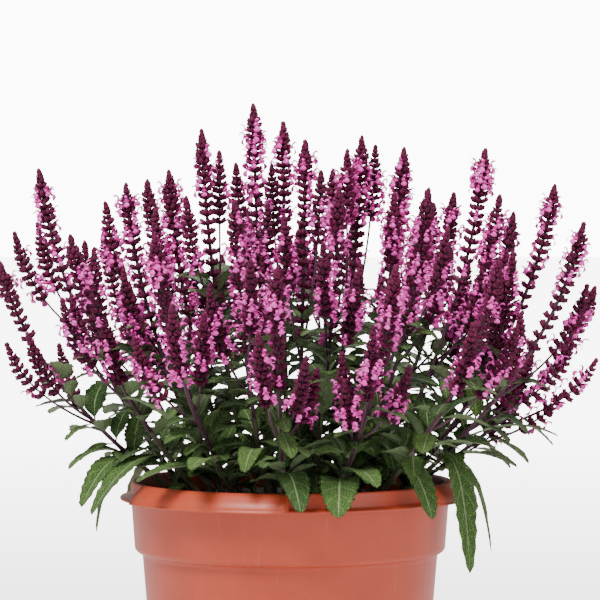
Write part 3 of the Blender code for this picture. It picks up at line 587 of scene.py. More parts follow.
# The large leaves that hang over the rim or reach out of the clump, in centimetres: the stem that
# bears the leaf, the height of its root, its tip (x, y, z) and its greatest width.
LARGE_LEAVES = (
    (0, 25.0, (-17.3, -7.0, 21.3), 2.4),
    (0, 26.0, (-18.6, -4.0, 24.2), 2.2),
    (2, 25.2, (-16.3, -9.4, 20.9), 2.4),
    (1, 24.6, (-16.5, -1.4, 18.6), 1.9),
    (1, 28.6, (-21.8, 0.2, 29.2), 1.8),
    (21, 27.4, (-13.9, -9.8, 30.4), 2.2),
    (21, 26.2, (-7.9, -15.5, 25.1), 2.1),
    (21, 24.4, (-12.4, -13.0, 23.9), 2.2),
    (20, 25.0, (-3.6, -15.6, 24.9), 2.2),
    (22, 24.5, (0.9, -17.2, 21.8), 2.6),
    (22, 26.3, (-2.9, -17.4, 25.4), 1.9),
    (23, 24.4, (3.9, -17.4, 21.4), 3.3),
    (23, 26.0, (7.0, -17.0, 23.8), 2.3),
    (19, 27.6, (3.2, -13.0, 32.6), 2.5),
    (24, 24.5, (11.6, -12.2, 20.8), 2.4),
    (17, 25.0, (14.1, -8.2, 15.9), 2.2),
    (16, 24.4, (16.3, -1.2, 17.0), 2.2),
    (17, 26.2, (18.9, -6.4, 24.6), 2.2),
    (24, 26.3, (16.9, -10.2, 26.4), 2.1),
    (24, 28.0, (17.2, -8.0, 30.2), 2.2),
    (18, 27.4, (22.8, -1.4, 26.8), 1.4),
    (17, 28.2, (19.6, -7.4, 31.6), 1.8),
    (25, 25.0, (-14.5, 10.5, 20.5), 2.4),
    (26, 25.0, (-5.5, 17.2, 20.8), 2.4),
    (27, 25.0, (8.5, 16.2, 20.6), 2.4),
    (15, 25.2, (16.4, 7.6, 19.6), 2.3),
    (28, 25.4, (2.0, 17.4, 22.0), 2.2),
    (25, 26.4, (-10.6, 14.4, 23.4), 2.2),
    (13, 25.4, (13.8, 11.6, 23.4), 2.2),
)
# How far along a large leaf its arch bends, how high the bend is lifted, and how far its tip is
# moved aside, to try in order until it is clear.
LARGE_LEAF_BENDS = (0.5, 0.75)
LARGE_LEAF_LIFTS = (1.4, 2.2, 3.0, 3.8, 0.8)
LARGE_LEAF_SHIFTS = ((0, 0), (0, -0.8), (0, 0.8), (-0.8, 0), (0.8, 0), (-0.8, -0.8), (0.8, -0.8))

# The rest of the leaves stand in crossed pairs up the green foot of every stem.
PAIR_STEP = 2.4
PAIR_APART = 0.9
PAIR_LOWEST = 24.0
INNER_PAIR_LOWEST = 27.0
INNER_RADIUS = 12.0
LEAF_LENGTH = 5.6
LEAF_WIDTH_SHARE = 0.37
LEAF_RISE = 34.0
LEAF_FOLD = 0.22
LEAF_ROOT = 0.1
LEAF_SAMPLES = 21
LEAF_FOOT_SAMPLES = 4
DROOP = np.array((0.0, 0.0, 0.16))
# Turn, length and lift to try in order, until a leaf is clear of its neighbours.
LEAF_TRIES = (
    (0, 1, 0), (0.35, 1, 0.2), (-0.35, 1, 0.2), (0.6, 0.9, 0), (-0.6, 0.9, 0), (0, 0.8, 0.35),
    (0.6, 0.8, 0.3), (-0.6, 0.8, 0.3), (0, 0.65, 0.5), (0.5, 0.6, 0.2), (-0.5, 0.6, 0.2),
    (0.3, 0.5, -0.3), (-0.3, 0.5, -0.3),
)
LEAF_CLEARANCE = 0.36
STEM_CLEARANCE = 0.24
OWN_CLEARANCE = 0.25
STALK_SHARE = 0.14
STALK_HALF = 0.09
# How far leaves stay above the rim and above the soil.
RIM_CLEARANCE = 0.32
SOIL_CLEARANCE = 0.45


def unit(vector):
    return vector / np.linalg.norm(vector)


def bezier(a, b, c, share):
    share = np.asarray(share, float)[..., None]
    return a * (1 - share) ** 2 + b * 2 * share * (1 - share) + c * share * share


def height_share(stem, height):
    """How far up a main stem a height lies, from 0 at the crown to 1 at the tip."""
    return max(0.0, (height - CROWN_TOP) / (stem["tip"][2] - CROWN_TOP))


def stem_point(stem, height):
    """A point of a main stem: it leans out at the crown and grows steeper towards its tip."""
    share = height_share(stem, height)
    out = STEM_LEAN * share - (STEM_LEAN - 1) * share * share
    x = stem["base"][0] + (stem["tip"][0] - stem["base"][0]) * out
    y = stem["base"][1] + (stem["tip"][1] - stem["base"][1]) * out
    return np.array((x, y, height))


def stem_section(stem, height, radius=0.0):
    """Centre, direction, first corner and radius of a main stem's square section."""
    centre = stem_point(stem, height)
    ahead = unit(stem_point(stem, height + 0.4) - centre)
    heading = np.array((math.cos(stem["heading"]), math.sin(stem["heading"]), 0.0))
    return square_section(centre, ahead, heading, radius)


def square_section(centre, ahead, heading, radius):
    return centre, ahead, unit(heading - ahead * (heading @ ahead)), radius


def face_directions(section):
    """The way that each of a square stem's four faces looks."""
    _, ahead, across, _ = section
    beside = np.cross(ahead, across)
    turns = [math.pi / 4 + math.pi / 2 * i for i in range(4)]
    return [math.cos(t) * across + math.sin(t) * beside for t in turns]


def stem_radius(stem, height):
    return STEM_RADIUS + (STEM_TIP_RADIUS - STEM_RADIUS) * height_share(stem, height)


def cloud(points, radius, owner):
    return {"points": np.asarray(points, float), "radius": radius, "owner": owner}


def clear_of(points, taken, owner, margin):
    """Whether the points stay further than the margin from everything of another stem."""
    low = points.min(0) - 2.2
    high = points.max(0) + 2.2
    for other in taken:
        if other["owner"] == owner:
            continue
        near = other["points"][((other["points"] > low) & (other["points"] < high)).all(1)]
        if not len(near):
            continue
        away = np.linalg.norm(points[:, None] - near[None], axis=2).min()
        if away < other["radius"] + margin:
            return False
    return True


def clear_of_pot(points):
    """Leaves stay off the soil and pass over the rim, not through it."""
    out = np.hypot(points[:, 0], points[:, 1])
    over_rim = (out > POT_NECK_RADIUS - POT_WALL - 0.6) & (out < POT_GRIP_RADIUS + 0.3)
    lowest = np.where(over_rim, POT_HEIGHT + RIM_CLEARANCE, SOIL_TOP + SOIL_CLEARANCE)
    lowest = np.where(out > POT_GRIP_RADIUS + 0.3, 1.0, lowest)
    return bool((points[:, 2] > lowest).all())


def side_rise(z):
    """How far below its tip at this height a side spike leaves its stem."""
    return min(SIDE_RISE_LONGEST, SIDE_RISE_SHARE * (z - SOIL_TOP))


def plan_stems():
    """Where every stem and side spike goes, and what room they take. Side spikes that are not in
    the table come last, where there is room beside a stem's spike."""
    draw = random.Random(5)
    stems = []
    taken = []
    for index, (tip, spike, _) in enumerate(STEMS):
        spread = min(CROWN_SPREAD, CROWN_RADIUS / math.hypot(tip[0], tip[1]))
        base = (tip[0] * spread, tip[1] * spread)
        heading = draw.uniform(0, math.pi / 2)
        stem = {"index": index, "tip": tip, "base": base, "heading": heading, "sides": []}
        stem["spike_foot"] = tip[2] - spike
        stems.append(stem)
        heights = np.arange(SOIL_TOP - STEM_SUNK, tip[2] + 0.4, 0.3)
        line = np.array([stem_point(stem, h) for h in heights])
        foot = heights < stem["spike_foot"]
        stem["clouds"] = [
            cloud(line[foot], STEM_RADIUS, index),
            cloud(line[~foot], SPIKE_ROOM, index),
        ]
        taken += stem["clouds"]
    for stem, (_, _, sides) in zip(stems, STEMS):
        level = stem["spike_foot"] - 0.5
        for number, (x, z) in enumerate(sides):
            add_side_spike(stem, number, x, z, level, taken)
            if stem["sides"]:
                level = stem["sides"][-1]["height"] - 1.1
        stem["cut"] = min([side["height"] for side in stem["sides"]] + [level]) - 0.6
    for stem in stems:
        late = len(stem["sides"]) + LATE_SPIKES
        for number in range(LATE_TRIES):
            z = stem["tip"][2] - draw.uniform(*LATE_BELOW)
            x = stem_point(stem, z)[0] + draw.choice((-1, 1)) * draw.uniform(*LATE_ASIDE)
            if z - side_rise(z) > stem["cut"] + 1.2 and len(stem["sides"]) < late:
                add_side_spike(stem, number, x, z, stem["spike_foot"] - 0.5, taken)
    return stems, taken


def add_side_spike(stem, number, x, z, level, taken):
    """A side spike leaves one face of its stem and curves up beside it."""
    height = min(z - side_rise(z), level)
    section = stem_section(stem, height)
    root = section[0]
    rise = z - height
    spike = min(SIDE_SPIKE_SHARE * rise, SIDE_SPIKE_LONGEST)
    sign = 1 if (stem["index"] + number) % 2 else -1
    own = [dict(part, owner=-1) for part in stem["clouds"][:2]]
    for depth in SIDE_DEPTHS:
        y = stem_point(stem, z)[1] + depth * sign
        tip = np.array((x, y, z))
        elbow = root + (tip - root) * SIDE_ELBOW
        line = bezier(root, elbow, tip, np.linspace(0, 1.03, SIDE_SAMPLES))
        foot = int(SIDE_SAMPLES * (1 - spike / rise))
        if not clear_of(line[foot:], taken + own, stem["index"], SIDE_SPIKE_ROOM):
            continue
        if not clear_of(line[3:foot], taken, stem["index"], SIDE_STEM_RADIUS + 0.1):
            continue
        ways = face_directions(section)
        face = max(range(4), key=lambda i: ways[i] @ (elbow - root))
        if any(abs(s["height"] - height) < SIDE_NODES_APART for s in stem["sides"]):
            continue
        stem["sides"].append(
            {"height": height, "face": face, "curve": (root, elbow, tip), "foot": 1 - spike / rise,
             "spike": spike}
        )
        stem["clouds"].append(cloud(line[3:foot], SIDE_STEM_RADIUS, stem["index"]))
        stem["clouds"].append(cloud(line[foot:], SIDE_SPIKE_ROOM, stem["index"]))
        taken += stem["clouds"][-2:]
        return


def leaf_frame(leaf, shares):
    """Midrib points, sideways and upward directions of a leaf at the given shares."""
    shares = np.asarray(shares, float)
    line = bezier(leaf["root"], leaf["elbow"], leaf["tip"], shares)
    ahead = bezier(leaf["root"], leaf["elbow"], leaf["tip"], shares + 0.01) - line
    ahead = ahead / np.linalg.norm(ahead, axis=1)[:, None]
    beside = unit(np.cross(leaf["tip"] - leaf["root"], (0.0, 0.0, 1.0)))
    beside = beside * math.cos(leaf["roll"]) + np.array((0, 0, 1.0)) * math.sin(leaf["roll"])
    beside = beside - ahead * (ahead @ beside)[:, None]
    beside = beside / np.linalg.norm(beside, axis=1)[:, None]
    return line, beside, np.cross(beside, ahead)


def leaf_cloud(leaf):
    """Points all over a blade, strip by strip: the first of each strip lie near its root."""
    shares = np.linspace(0.1, 1, LEAF_SAMPLES)
    width = np.interp(shares, [0.1, 0.35, 0.62, 1.0], [0.12, 0.95, 1.0, 0.1]) * leaf["width"] / 2
    line, beside, above = leaf_frame(leaf, shares)
    lift = above * (width * LEAF_FOLD)[:, None]
    rows = [line + beside * (width * k)[:, None] + lift * abs(k) for k in (-1, -0.5, 0, 0.5, 1)]
    return np.array(rows)


def plan_leaves(stems, taken):
    """The large leaves first, then crossed pairs up each stem. A leaf that would touch another
    turns, shortens or is left out."""
    draw = random.Random(19)
    leaves = []
    for number, height, tip, width in LARGE_LEAVES:
        stem = stems[number]
        height = min(height, stem["cut"] - 0.6)
        tip = np.array(tip)
        section = stem_section(stem, height)
        ways = face_directions(section)
        face = max(range(4), key=lambda i: ways[i] @ (tip - section[0]))
        root = section[0] + ways[face] * LEAF_ROOT
        tries = itertools.product(LARGE_LEAF_SHIFTS, LARGE_LEAF_BENDS, LARGE_LEAF_LIFTS)
        for (along, across), bend, lift in tries:
            shifted = tip + np.array((along, across, 0.0))
            elbow = root + (shifted - root) * bend
            elbow[2] = max(root[2], tip[2]) + lift
            leaf = {"root": root, "elbow": elbow, "tip": shifted, "width": width, "roll": 0.0}
            if try_leaf(leaf, stem, height, face, taken, leaves):
                add_pair_leaf(stem, height, (face + 2) % 4, draw, taken, leaves)
                break
    for stem in stems:
        inner = math.hypot(*stem["tip"][:2]) < INNER_RADIUS
        height = (INNER_PAIR_LOWEST if inner else PAIR_LOWEST) + draw.uniform(0, 1.2)
        level = 0
        while height < stem["cut"] - 0.4:
            nodes = {leaf["height"] for leaf in leaves if leaf["stem"] == stem["index"]}
            if all(abs(height - node) > PAIR_APART for node in nodes):
                for face in (level % 2, level % 2 + 2):
                    add_pair_leaf(stem, height, face, draw, taken, leaves)
            level += 1
            height += PAIR_STEP * draw.uniform(0.85, 1.15)
    return leaves


def add_pair_leaf(stem, height, face, draw, taken, leaves):
    section = stem_section(stem, height)
    centre, along, _, _ = section
    way = face_directions(section)[face]
    root = centre + way * LEAF_ROOT
    aside = np.cross(along, way)
    length = LEAF_LENGTH * draw.uniform(0.8, 1.1) * (1 - 0.03 * (height - PAIR_LOWEST))
    rise = math.radians(LEAF_RISE + draw.uniform(-14, 14))
    roll = draw.uniform(-0.3, 0.3)
    for turn, scale, lift in LEAF_TRIES:
        out = way * math.cos(turn) + aside * math.sin(turn)
        reach = length * scale
        steep = rise + lift
        elbow = root + (out * math.cos(steep) + along * math.sin(steep)) * reach * 0.5
        tip = elbow + (out * math.cos(steep) + along * 0.25) * reach * 0.5 - DROOP * reach
        leaf = {"root": root, "elbow": elbow, "tip": tip, "roll": roll}
        leaf["width"] = reach * LEAF_WIDTH_SHARE
        if try_leaf(leaf, stem, height, face, taken, leaves):
            return


def try_leaf(leaf, stem, height, face, taken, leaves):
    """Keeps a leaf if it is clear of the pot, of other stems and, past its foot, of its own."""
    points = leaf_cloud(leaf)
    blade = points[:, LEAF_FOOT_SAMPLES:].reshape(-1, 3)
    points = points.reshape(-1, 3)
    if not clear_of_pot(points):
        return False
    if not clear_of(points, taken, stem["index"], STEM_CLEARANCE):
        return False
    own = [cloud(o["cloud"], 0.1, -1) for o in leaves if o["stem"] == stem["index"]]
    own += [dict(part, owner=-1) for part in stem["clouds"]]
    if not clear_of(blade, own, stem["index"], OWN_CLEARANCE):
        return False
    leaf.update(stem=stem["index"], height=height, face=face, cloud=blade)
    leaves.append(leaf)
    taken.append(cloud(points, LEAF_CLEARANCE - STEM_CLEARANCE, stem["index"]))
    return True


# Stems
# Square, grooved stems: green and finely hairy at the foot, dark purple where they bear flowers.
# Each is drawn out along its planned line, with the side spikes' stems leaving its faces.
GREEN_STEM = ((0.055, 0.065, 0.026), (0.120, 0.135, 0.050))
DARK_STEM = ((0.030, 0.008, 0.018), (0.095, 0.026, 0.050))
STEM_BLUSH = (0.06, 0.018, 0.032)
# The step between sections, the girths beside the planned ones, and the shape of a section: how
# far its corners are eased, in radians, and how deep its grooved faces lie.
STEM_STEP = 0.8
GREEN_GIRTH = 0.92
DARK_GIRTH = 0.8
CORNER_EASE = 0.22
GROOVE_SHARE = 0.62
SIDE_STEPS = 12
SIDE_TAPER = 0.4


def mark(tree, name):
    """What a piece's own points say under this name."""
    return add(tree, "ShaderNodeAttribute", attribute_name=name).outputs["Fac"]


def skin_of_stem(name, colours, blush):
    """Fine length-wise ribs and down, with a purple blush that grows along the stem."""
    material, tree, shader = new_material(name, Roughness=0.55, Sheen_Weight=0.12)
    shift = maths(tree, "MULTIPLY", mark(tree, "tone"), 0.5)
    colour, _ = mottled(tree, 70.0, 4.0, colours, (0.2, 0.8), 0.5, shift)
    reach = maths(tree, "MULTIPLY", mark(tree, "along"), blush)
    tree.links.new(blend(tree, reach, colour, STEM_BLUSH), shader.inputs["Base Color"])
    ribs = add(tree, "ShaderNodeMapping", {"Vector": over_surface(tree), "Scale": (1, 1, 0.12)})
    down = add(tree, "ShaderNodeTexNoise", {"Vector": ribs.outputs["Vector"], "Scale": 1400.0})
    raise_skin(tree, shader, down.outputs["Fac"], 0.5, 0.0005)
    return material


class Growth:
    """Points and faces of a piece that is drawn bit by bit, with what its paint reads."""

    def __init__(self):
        self.points = []
        self.faces = []
        self.marks = {}

    def add(self, points, faces, **marks):
        first = len(self.points)
        self.points += list(points)
        self.faces += [tuple(n + first for n in face) for face in faces]
        for key, values in marks.items():
            self.marks.setdefault(key, []).extend(values)

    def piece(self, name, material):
        made = object_from(name, self.points, self.faces, material)
        for key, values in self.marks.items():
            layer = made.data.attributes.new(key, "FLOAT", "POINT")
            layer.data.foreach_set("value", values)
        return made


def lofted(rings):
    """Points and faces of a closed skin through rings of equal length."""
    sides = len(rings[0])
    faces = []
    for low in range(0, (len(rings) - 1) * sides, sides):
        for i in range(sides):
            j = (i + 1) % sides
            faces.append((low + i, low + j, low + sides + j, low + sides + i))
    faces.append(tuple(reversed(range(sides))))
    faces.append(tuple((len(rings) - 1) * sides + i for i in range(sides)))
    return [point for ring in rings for point in ring], faces


def draw_stem(growth, sections, along, tone):
    """A square tube with eased edges and grooved faces, closed at both ends."""
    rings = []
    for centre, ahead, across, radius in sections:
        beside = np.cross(ahead, across)
        ring = []
        for i in range(4):
            corner = math.pi / 2 * i
            for turn, reach in ((-CORNER_EASE, 1), (CORNER_EASE, 1), (math.pi / 4, GROOVE_SHARE)):
                way = math.cos(corner + turn) * across + math.sin(corner + turn) * beside
                ring.append(centre + way * radius * reach)
        rings.append(ring)
    points, faces = lofted(rings)
    marks = [share for share in along for _ in rings[0]]
    growth.add(points, faces, along=marks, tone=[tone] * len(points))


def curve_sections(curve, shares, radii):
    """Square sections along a side spike's curve."""
    heading = np.array((0.83, 0.56, 0.0))
    made = []
    for share, radius in zip(shares, radii):
        centre, following = bezier(*curve, np.array((share, share + 0.01)))
        made.append(square_section(centre, unit(following - centre), heading, radius))
    return made


stems, taken = plan_stems()
leaves = plan_leaves(stems, taken)
foliage_names = [f"foliage_{stem['index']:02d}" for stem in stems]
bloom_names = [f"bloom_{stem['index']:02d}" for stem in stems]
draw = random.Random(23)
feet = Growth()
tops = Growth()
for stem in stems:
    tone = draw.random()
    low, cut, high = SOIL_TOP - STEM_SUNK, stem["cut"], stem["tip"][2]
    heights = [low, CROWN_TOP, *np.arange(CROWN_TOP + STEM_STEP, cut - 0.3, STEM_STEP), cut]
    sections = [stem_section(stem, h, stem_radius(stem, h) * GREEN_GIRTH) for h in heights]
    draw_stem(feet, sections, [max(0, h - CROWN_TOP) / (cut - CROWN_TOP) for h in heights], tone)
    heights = [*np.arange(cut + 0.06, high - 0.5, STEM_STEP), high]
    sections = [stem_section(stem, h, stem_radius(stem, h) * DARK_GIRTH) for h in heights]
    draw_stem(tops, sections, [(h - cut) / (high - cut) for h in heights], tone)
    for side in stem["sides"]:
        shares = np.linspace(0, 1, SIDE_STEPS)
        radii = [SIDE_STEM_RADIUS * (1 - SIDE_TAPER * share) for share in shares]
        draw_stem(tops, curve_sections(side["curve"], shares, radii), shares, tone)
stem_feet = feet.piece("green_stems", skin_of_stem("green_stem", GREEN_STEM, 0.55))
stem_tops = tops.piece("dark_stems", skin_of_stem("dark_stem", DARK_STEM, 0.15))
for piece, names, slot in (
    (stem_feet, foliage_names, "foliage"), (stem_tops, bloom_names, "bloom"),
):
    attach(piece, "root")
    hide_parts(*names)


# Leaves
# Oblong, wrinkled blades with a round-toothed edge, a pale sunken midrib and side veins, on short
# stalks in crossed pairs. The upper face is deep green and the downy under face grey-green.
FULL_LEAF_GRID = (24, 4)
YOUNG_LEAF_GRID = (12, 2)
LEAF_BODY = 0.035
TOOTH_DEPTH = 0.16
VEINS = 7
VEIN_SLANT = 1.1
QUILT = 0.045
EDGE_WAVE = 0.08
SMALL_PAIRS_STEP = 1.0
SMALL_PAIRS_LOWEST = 22.1
SMALL_LEAF_LENGTH = (2.6, 4.9)
SMALL_LEAF_WIDTH = (0.38, 0.48)
SMALL_LEAF_REACH = 6.5
LEAF_GREENS = ((0.046, 0.118, 0.018), (0.215, 0.385, 0.070))
# The painted shade that darkens the furrows between the puckers of a leaf's upper face.
LEAF_FURROW_SHADE = (0.016, 0.045, 0.010)
LEAF_VEIN = (0.420, 0.530, 0.250)
LEAF_UNDER = ((0.170, 0.250, 0.105), (0.300, 0.380, 0.190))


def leaf_outline(share):
    """Half the width of a blade at a share of its length, from 0 to 1."""
    blade = (share - STALK_SHARE) / (1 - STALK_SHARE)
    return math.sin(math.pi * blade**0.85) ** 0.48 if 0 < blade < 1 else 0.0


def draw_leaf(growth, leaf, tone, grid):
    """One blade as two faces that meet along its toothed edge, in a grid of rows and columns."""
    row_count, column_count = grid
    shares = [1 - (1 - k / row_count) ** 1.12 for k in range(row_count + 1)]
    line, beside, above = leaf_frame(leaf, shares)
    points = []
    marks = {"along": [], "across": [], "under": []}
    columns = range(-column_count, column_count + 1)
    phase = tone * 6.0
    for side in (1, -1):
        for k, share in enumerate(shares):
            half = max(leaf_outline(share) * leaf["width"] / 2, STALK_HALF * (1 - share))
            scallop = 1 + TOOTH_DEPTH * (k % 2 - 0.5)
            for column in columns:
                out = column / column_count
                reach = half * out * (scallop if abs(out) == 1 else 1)
                vein = math.sin(2 * math.pi * (VEINS * share - VEIN_SLANT * abs(out)) + phase)
                lift = half * LEAF_FOLD * abs(out) ** 1.3 * (half > STALK_HALF)
                lift += QUILT * vein * abs(out) * (1 - 0.3 * abs(out)) * (half > 2 * STALK_HALF)
                lift += EDGE_WAVE * half * math.sin(9 * share + phase) * out * abs(out)
                lift += LEAF_BODY * side * (1 - abs(out) ** 4)
                points.append(line[k] + beside[k] * reach + above[k] * lift)
                marks["along"].append(share)
                marks["across"].append(out)
                marks["under"].append(0.0 if side > 0 else 1.0)
    width = len(columns)
    layer = width * len(shares)
    faces = []
    for k in range(row_count):
        for a in range(k * width, (k + 1) * width - 1):
            faces.append((a, a + width, a + 1 + width, a + 1))
            faces.append((layer + a, layer + a + 1, layer + a + 1 + width, layer + a + width))
        for a, order in ((k * width, 1), ((k + 1) * width - 1, -1)):
            faces.append((a, layer + a, layer + a + width, a + width)[::order])
    last = row_count * width
    for i in range(width - 1):
        faces.append((i, i + 1, layer + i + 1, layer + i))
        faces.append((last + i, last + layer + i, last + layer + i + 1, last + i + 1))
    growth.add(points, faces, **marks, tone=[tone] * len(points))


def skin_of_leaf():
    """Deep green with paler veins and painted shade in the furrows of its puckered skin, paler and
    greyer underneath.
    """
    material, tree, shader = new_material("sage_leaf", Sheen_Weight=0.03, Specular_IOR_Level=0.28)
    from_rib = maths(tree, "ABSOLUTE", mark(tree, "across"))
    rows = maths(tree, "MULTIPLY", mark(tree, "along"), VEINS)
    slant = maths(tree, "SUBTRACT", rows, maths(tree, "MULTIPLY", from_rib, VEIN_SLANT))
    side_veins = between(tree, maths(tree, "PINGPONG", slant, 0.5), 0.0, 0.08, 0.35, 0.0)
    veins = maths(tree, "MAXIMUM", between(tree, from_rib, 0.02, 0.09, 1.0, 0.0), side_veins)
    net = add(
        tree, "ShaderNodeTexVoronoi", {"Vector": over_surface(tree), "Scale": 500.0},
        feature="DISTANCE_TO_EDGE",
    )
    pucker = between(tree, net.outputs["Distance"], 0.0, 0.35, 0.0, 1.0)
    shift = maths(tree, "MULTIPLY", mark(tree, "tone"), 0.55)
    green, cloud = mottled(tree, 45.0, 5.0, LEAF_GREENS, (0.2, 0.8), 0.45, shift)
    # Painted shade: the furrows of the pucker net are darkened, as if shaded.
    furrow_shaded = blend(tree, between(tree, pucker, 0.0, 1.0, 0.85, 0.0), green, LEAF_FURROW_SHADE)
    upper = blend(tree, maths(tree, "MULTIPLY", veins, 0.7), furrow_shaded, LEAF_VEIN)
    under = blend(tree, maths(tree, "MULTIPLY", veins, 0.5), *LEAF_UNDER)
    tree.links.new(blend(tree, mark(tree, "under"), upper, under), shader.inputs["Base Color"])
    tree.links.new(between(tree, cloud, 0.0, 1.0, 0.46, 0.68), shader.inputs["Roughness"])
    height = maths(tree, "SUBTRACT", pucker, maths(tree, "MULTIPLY", veins, 1.2))
    raise_skin(tree, shader, height, 0.9, 0.0012)
    return material


def small_leaves(stem, draw):
    """The short young leaves in the axils and between the full pairs. They stand close to their
    stem, so that they stay within the space that the stem's large leaves keep."""
    made = []
    height = SMALL_PAIRS_LOWEST + draw.uniform(0, SMALL_PAIRS_STEP)
    while height < stem["cut"] + SMALL_LEAF_REACH:
        section = stem_section(stem, height)
        ways = face_directions(section)
        for way in (ways[0], ways[2]) if draw.random() < 0.5 else (ways[1], ways[3]):
            reach = draw.uniform(*SMALL_LEAF_LENGTH)
            steep = math.radians(draw.uniform(12, 58))
            along = section[1]
            turn = draw.uniform(-0.5, 0.5)
            out = unit(way * math.cos(turn) + np.cross(along, way) * math.sin(turn))
            root = section[0] + way * LEAF_ROOT
            elbow = root + (out * math.cos(steep) + along * math.sin(steep)) * reach * 0.5
            tip = elbow + (out * 0.9 + along * 0.12) * reach * 0.5 - DROOP * reach * 0.6
            leaf = {"root": root, "elbow": elbow, "tip": tip, "roll": draw.uniform(-0.3, 0.3)}
            leaf["width"] = reach * draw.uniform(*SMALL_LEAF_WIDTH)
            if clear_of_pot(leaf_cloud(leaf).reshape(-1, 3)):
                made.append(leaf)
        height += SMALL_PAIRS_STEP * draw.uniform(0.8, 1.3)
    return made


leaf_skin = skin_of_leaf()
draw = random.Random(29)
full = Growth()
for leaf in leaves:
    draw_leaf(full, leaf, draw.random(), FULL_LEAF_GRID)
young = Growth()
for stem in stems:
    for leaf in small_leaves(stem, draw):
        draw_leaf(young, leaf, draw.random(), YOUNG_LEAF_GRID)
for name, growth in (("full_leaves", full), ("young_leaves", young)):
    piece = growth.piece(name, leaf_skin)
    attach(piece, "root")
    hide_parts(*foliage_names)


# Flower spikes
# Rings of six two-lipped calyces round the stem, close-set dark buds at the tip. Between the rings
# sit small pointed bracts. Open florets stand out of the calyces: a tube, a hooded upper lip and a
# spreading lower lip. Side spikes are dressed as the main ones are, with fewer open florets.
CALYX_LENGTH = 0.66
RING_FIRST = 0.20
RING_GROWTH = 0.018
RING_FLOWERS = 6
FLORET_SIZE = 1.12
BRACT_SIZE = 0.5
TUBE_SIDES = 5
# How many rings at the tip are buds, by which ring a calyx has its full size and its full tilt,
# and that tilt in degrees.
BUD_RINGS = 4
FULL_SIZE_RING = 6
FULL_TILT_RING = 4.5
FULL_TILT = 56
SIDE_OPEN_SHARE = 0.8
# Random spreads: the first ring in flower, how many follow it, the tilt in degrees and the sizes.
FIRST_OPEN = (3.5, 6.5)
OPEN_RINGS = (5, 16)
TILT_SPREAD = 9
CALYX_SPREAD = (0.88, 1.08)
FLORET_SPREAD = (0.8, 1.0)
BRACT_SPREAD = (0.8, 1.1)
# How much smaller the youngest bud is, how far the flowers sit off the stem's axis, how much
# further an open floret nods, in radians, and how far the first ring stands past the stem's end.
YOUNG_SIZE = 0.72
FLOWER_FOOT = 0.07
FLORET_NOD = 0.3
TIP_REACH = 0.35
# For each stem, how many of its florets are open, as a share, and how much of that share opens
# within the rings in flower and outside them.
OPEN_SHARES = (
    0.10, 0.30, 0.35, 0.55, 0.15, 0.65, 0.30, 0.50, 0.40, 0.55, 0.80, 0.75, 0.55, 0.40, 0.75,
    0.45, 0.35, 0.40, 0.30, 0.55, 0.60, 0.50, 0.45, 0.45, 0.45, 0.40, 0.50, 0.50, 0.55,
)
IN_FLOWER = 0.85
OUT_OF_FLOWER = 0.10
CALYX_COLOURS = ((0.024, 0.001, 0.011), (0.155, 0.004, 0.052))
BRACT_COLOURS = ((0.024, 0.003, 0.012), (0.090, 0.010, 0.034))
PETAL_COLOURS = ((0.880, 0.024, 0.440), (1.000, 0.155, 0.640))
PAINT_SHARE = 0.42


def ring_distances(length):
    """How far below the tip each ring of calyces stands."""
    distances = []
    k = 1
    while RING_FIRST * k + RING_GROWTH * k * k < length:
        distances.append(RING_FIRST * k + RING_GROWTH * k * k)
        k += 1
    return distances


def tube_ring(height, radius, lean=0.0, teeth=(0.0, 0.0)):
    """One ring of a flower's tube, whose points rise by the two teeth in turn."""
    angles = [2 * math.pi * i / TUBE_SIDES for i in range(TUBE_SIDES)]
    return [
        (lean + radius * math.cos(angle), radius * math.sin(angle), height + teeth[i % 2])
        for i, angle in enumerate(angles)
    ]


def calyx_template():
    """A toothed bell that lies along +Z, its upper lip towards +X, 1 unit long."""
    mouth = tube_ring(1.0, 0.27, teeth=(0.16, -0.10))
    throat = [(x * 0.4, y * 0.4, 0.68) for x, y, _ in mouth]
    return lofted([tube_ring(0.0, 0.11), tube_ring(0.50, 0.33), mouth, throat])


def petal(spine, widths, hollow, thick):
    """A curved petal with both faces: a spine of (x, z) points, half widths and its hollow."""
    rings = []
    for (x, z), half in zip(spine, widths):
        middle = x + hollow * half
        rings.append([(x, half, z), (middle, 0.0, z), (x, -half, z), (middle + thick, 0.0, z)])
    return lofted(rings)


def floret_template():
    """An open floret along +Z, its hood towards +X, in units of a calyx's length."""
    floret = Growth()
    floret.add(*lofted([tube_ring(0.6, 0.15), tube_ring(1.25, 0.23, 0.08)]))
    hood_spine = ((0.26, 1.12), (0.46, 1.52), (0.42, 1.78), (0.20, 1.88))
    floret.add(*petal(hood_spine, (0.17, 0.26, 0.22, 0.12), 0.4, 0.06))
    lip_spine = ((-0.12, 1.16), (-0.42, 1.38), (-0.74, 1.36), (-0.95, 1.12))
    floret.add(*petal(lip_spine, (0.14, 0.30, 0.44, 0.18), -0.2, 0.05))
    points, faces = petal(((-0.02, 1.18), (-0.22, 1.46)), (0.12, 0.17), 0.1, 0.04)
    for side in (1, -1):
        wing = [(x, y + side * (0.16 + 0.6 * (z - 1.2)), z) for x, y, z in points]
        floret.add(wing, faces)
    return floret.points, floret.faces


def bract_template():
    """A small pointed bract that hugs its ring, along +Z, with its back towards -X."""
    rings = []
    for height, half, out in ((0.0, 0.16, 0.0), (0.4, 0.27, -0.10), (1.0, 0.02, 0.02)):
        rings.append([(out, half, height), (out - 0.10 * half, 0.0, height),
                      (out, -half, height), (out + 0.05, 0.0, height)])
    return lofted(rings)


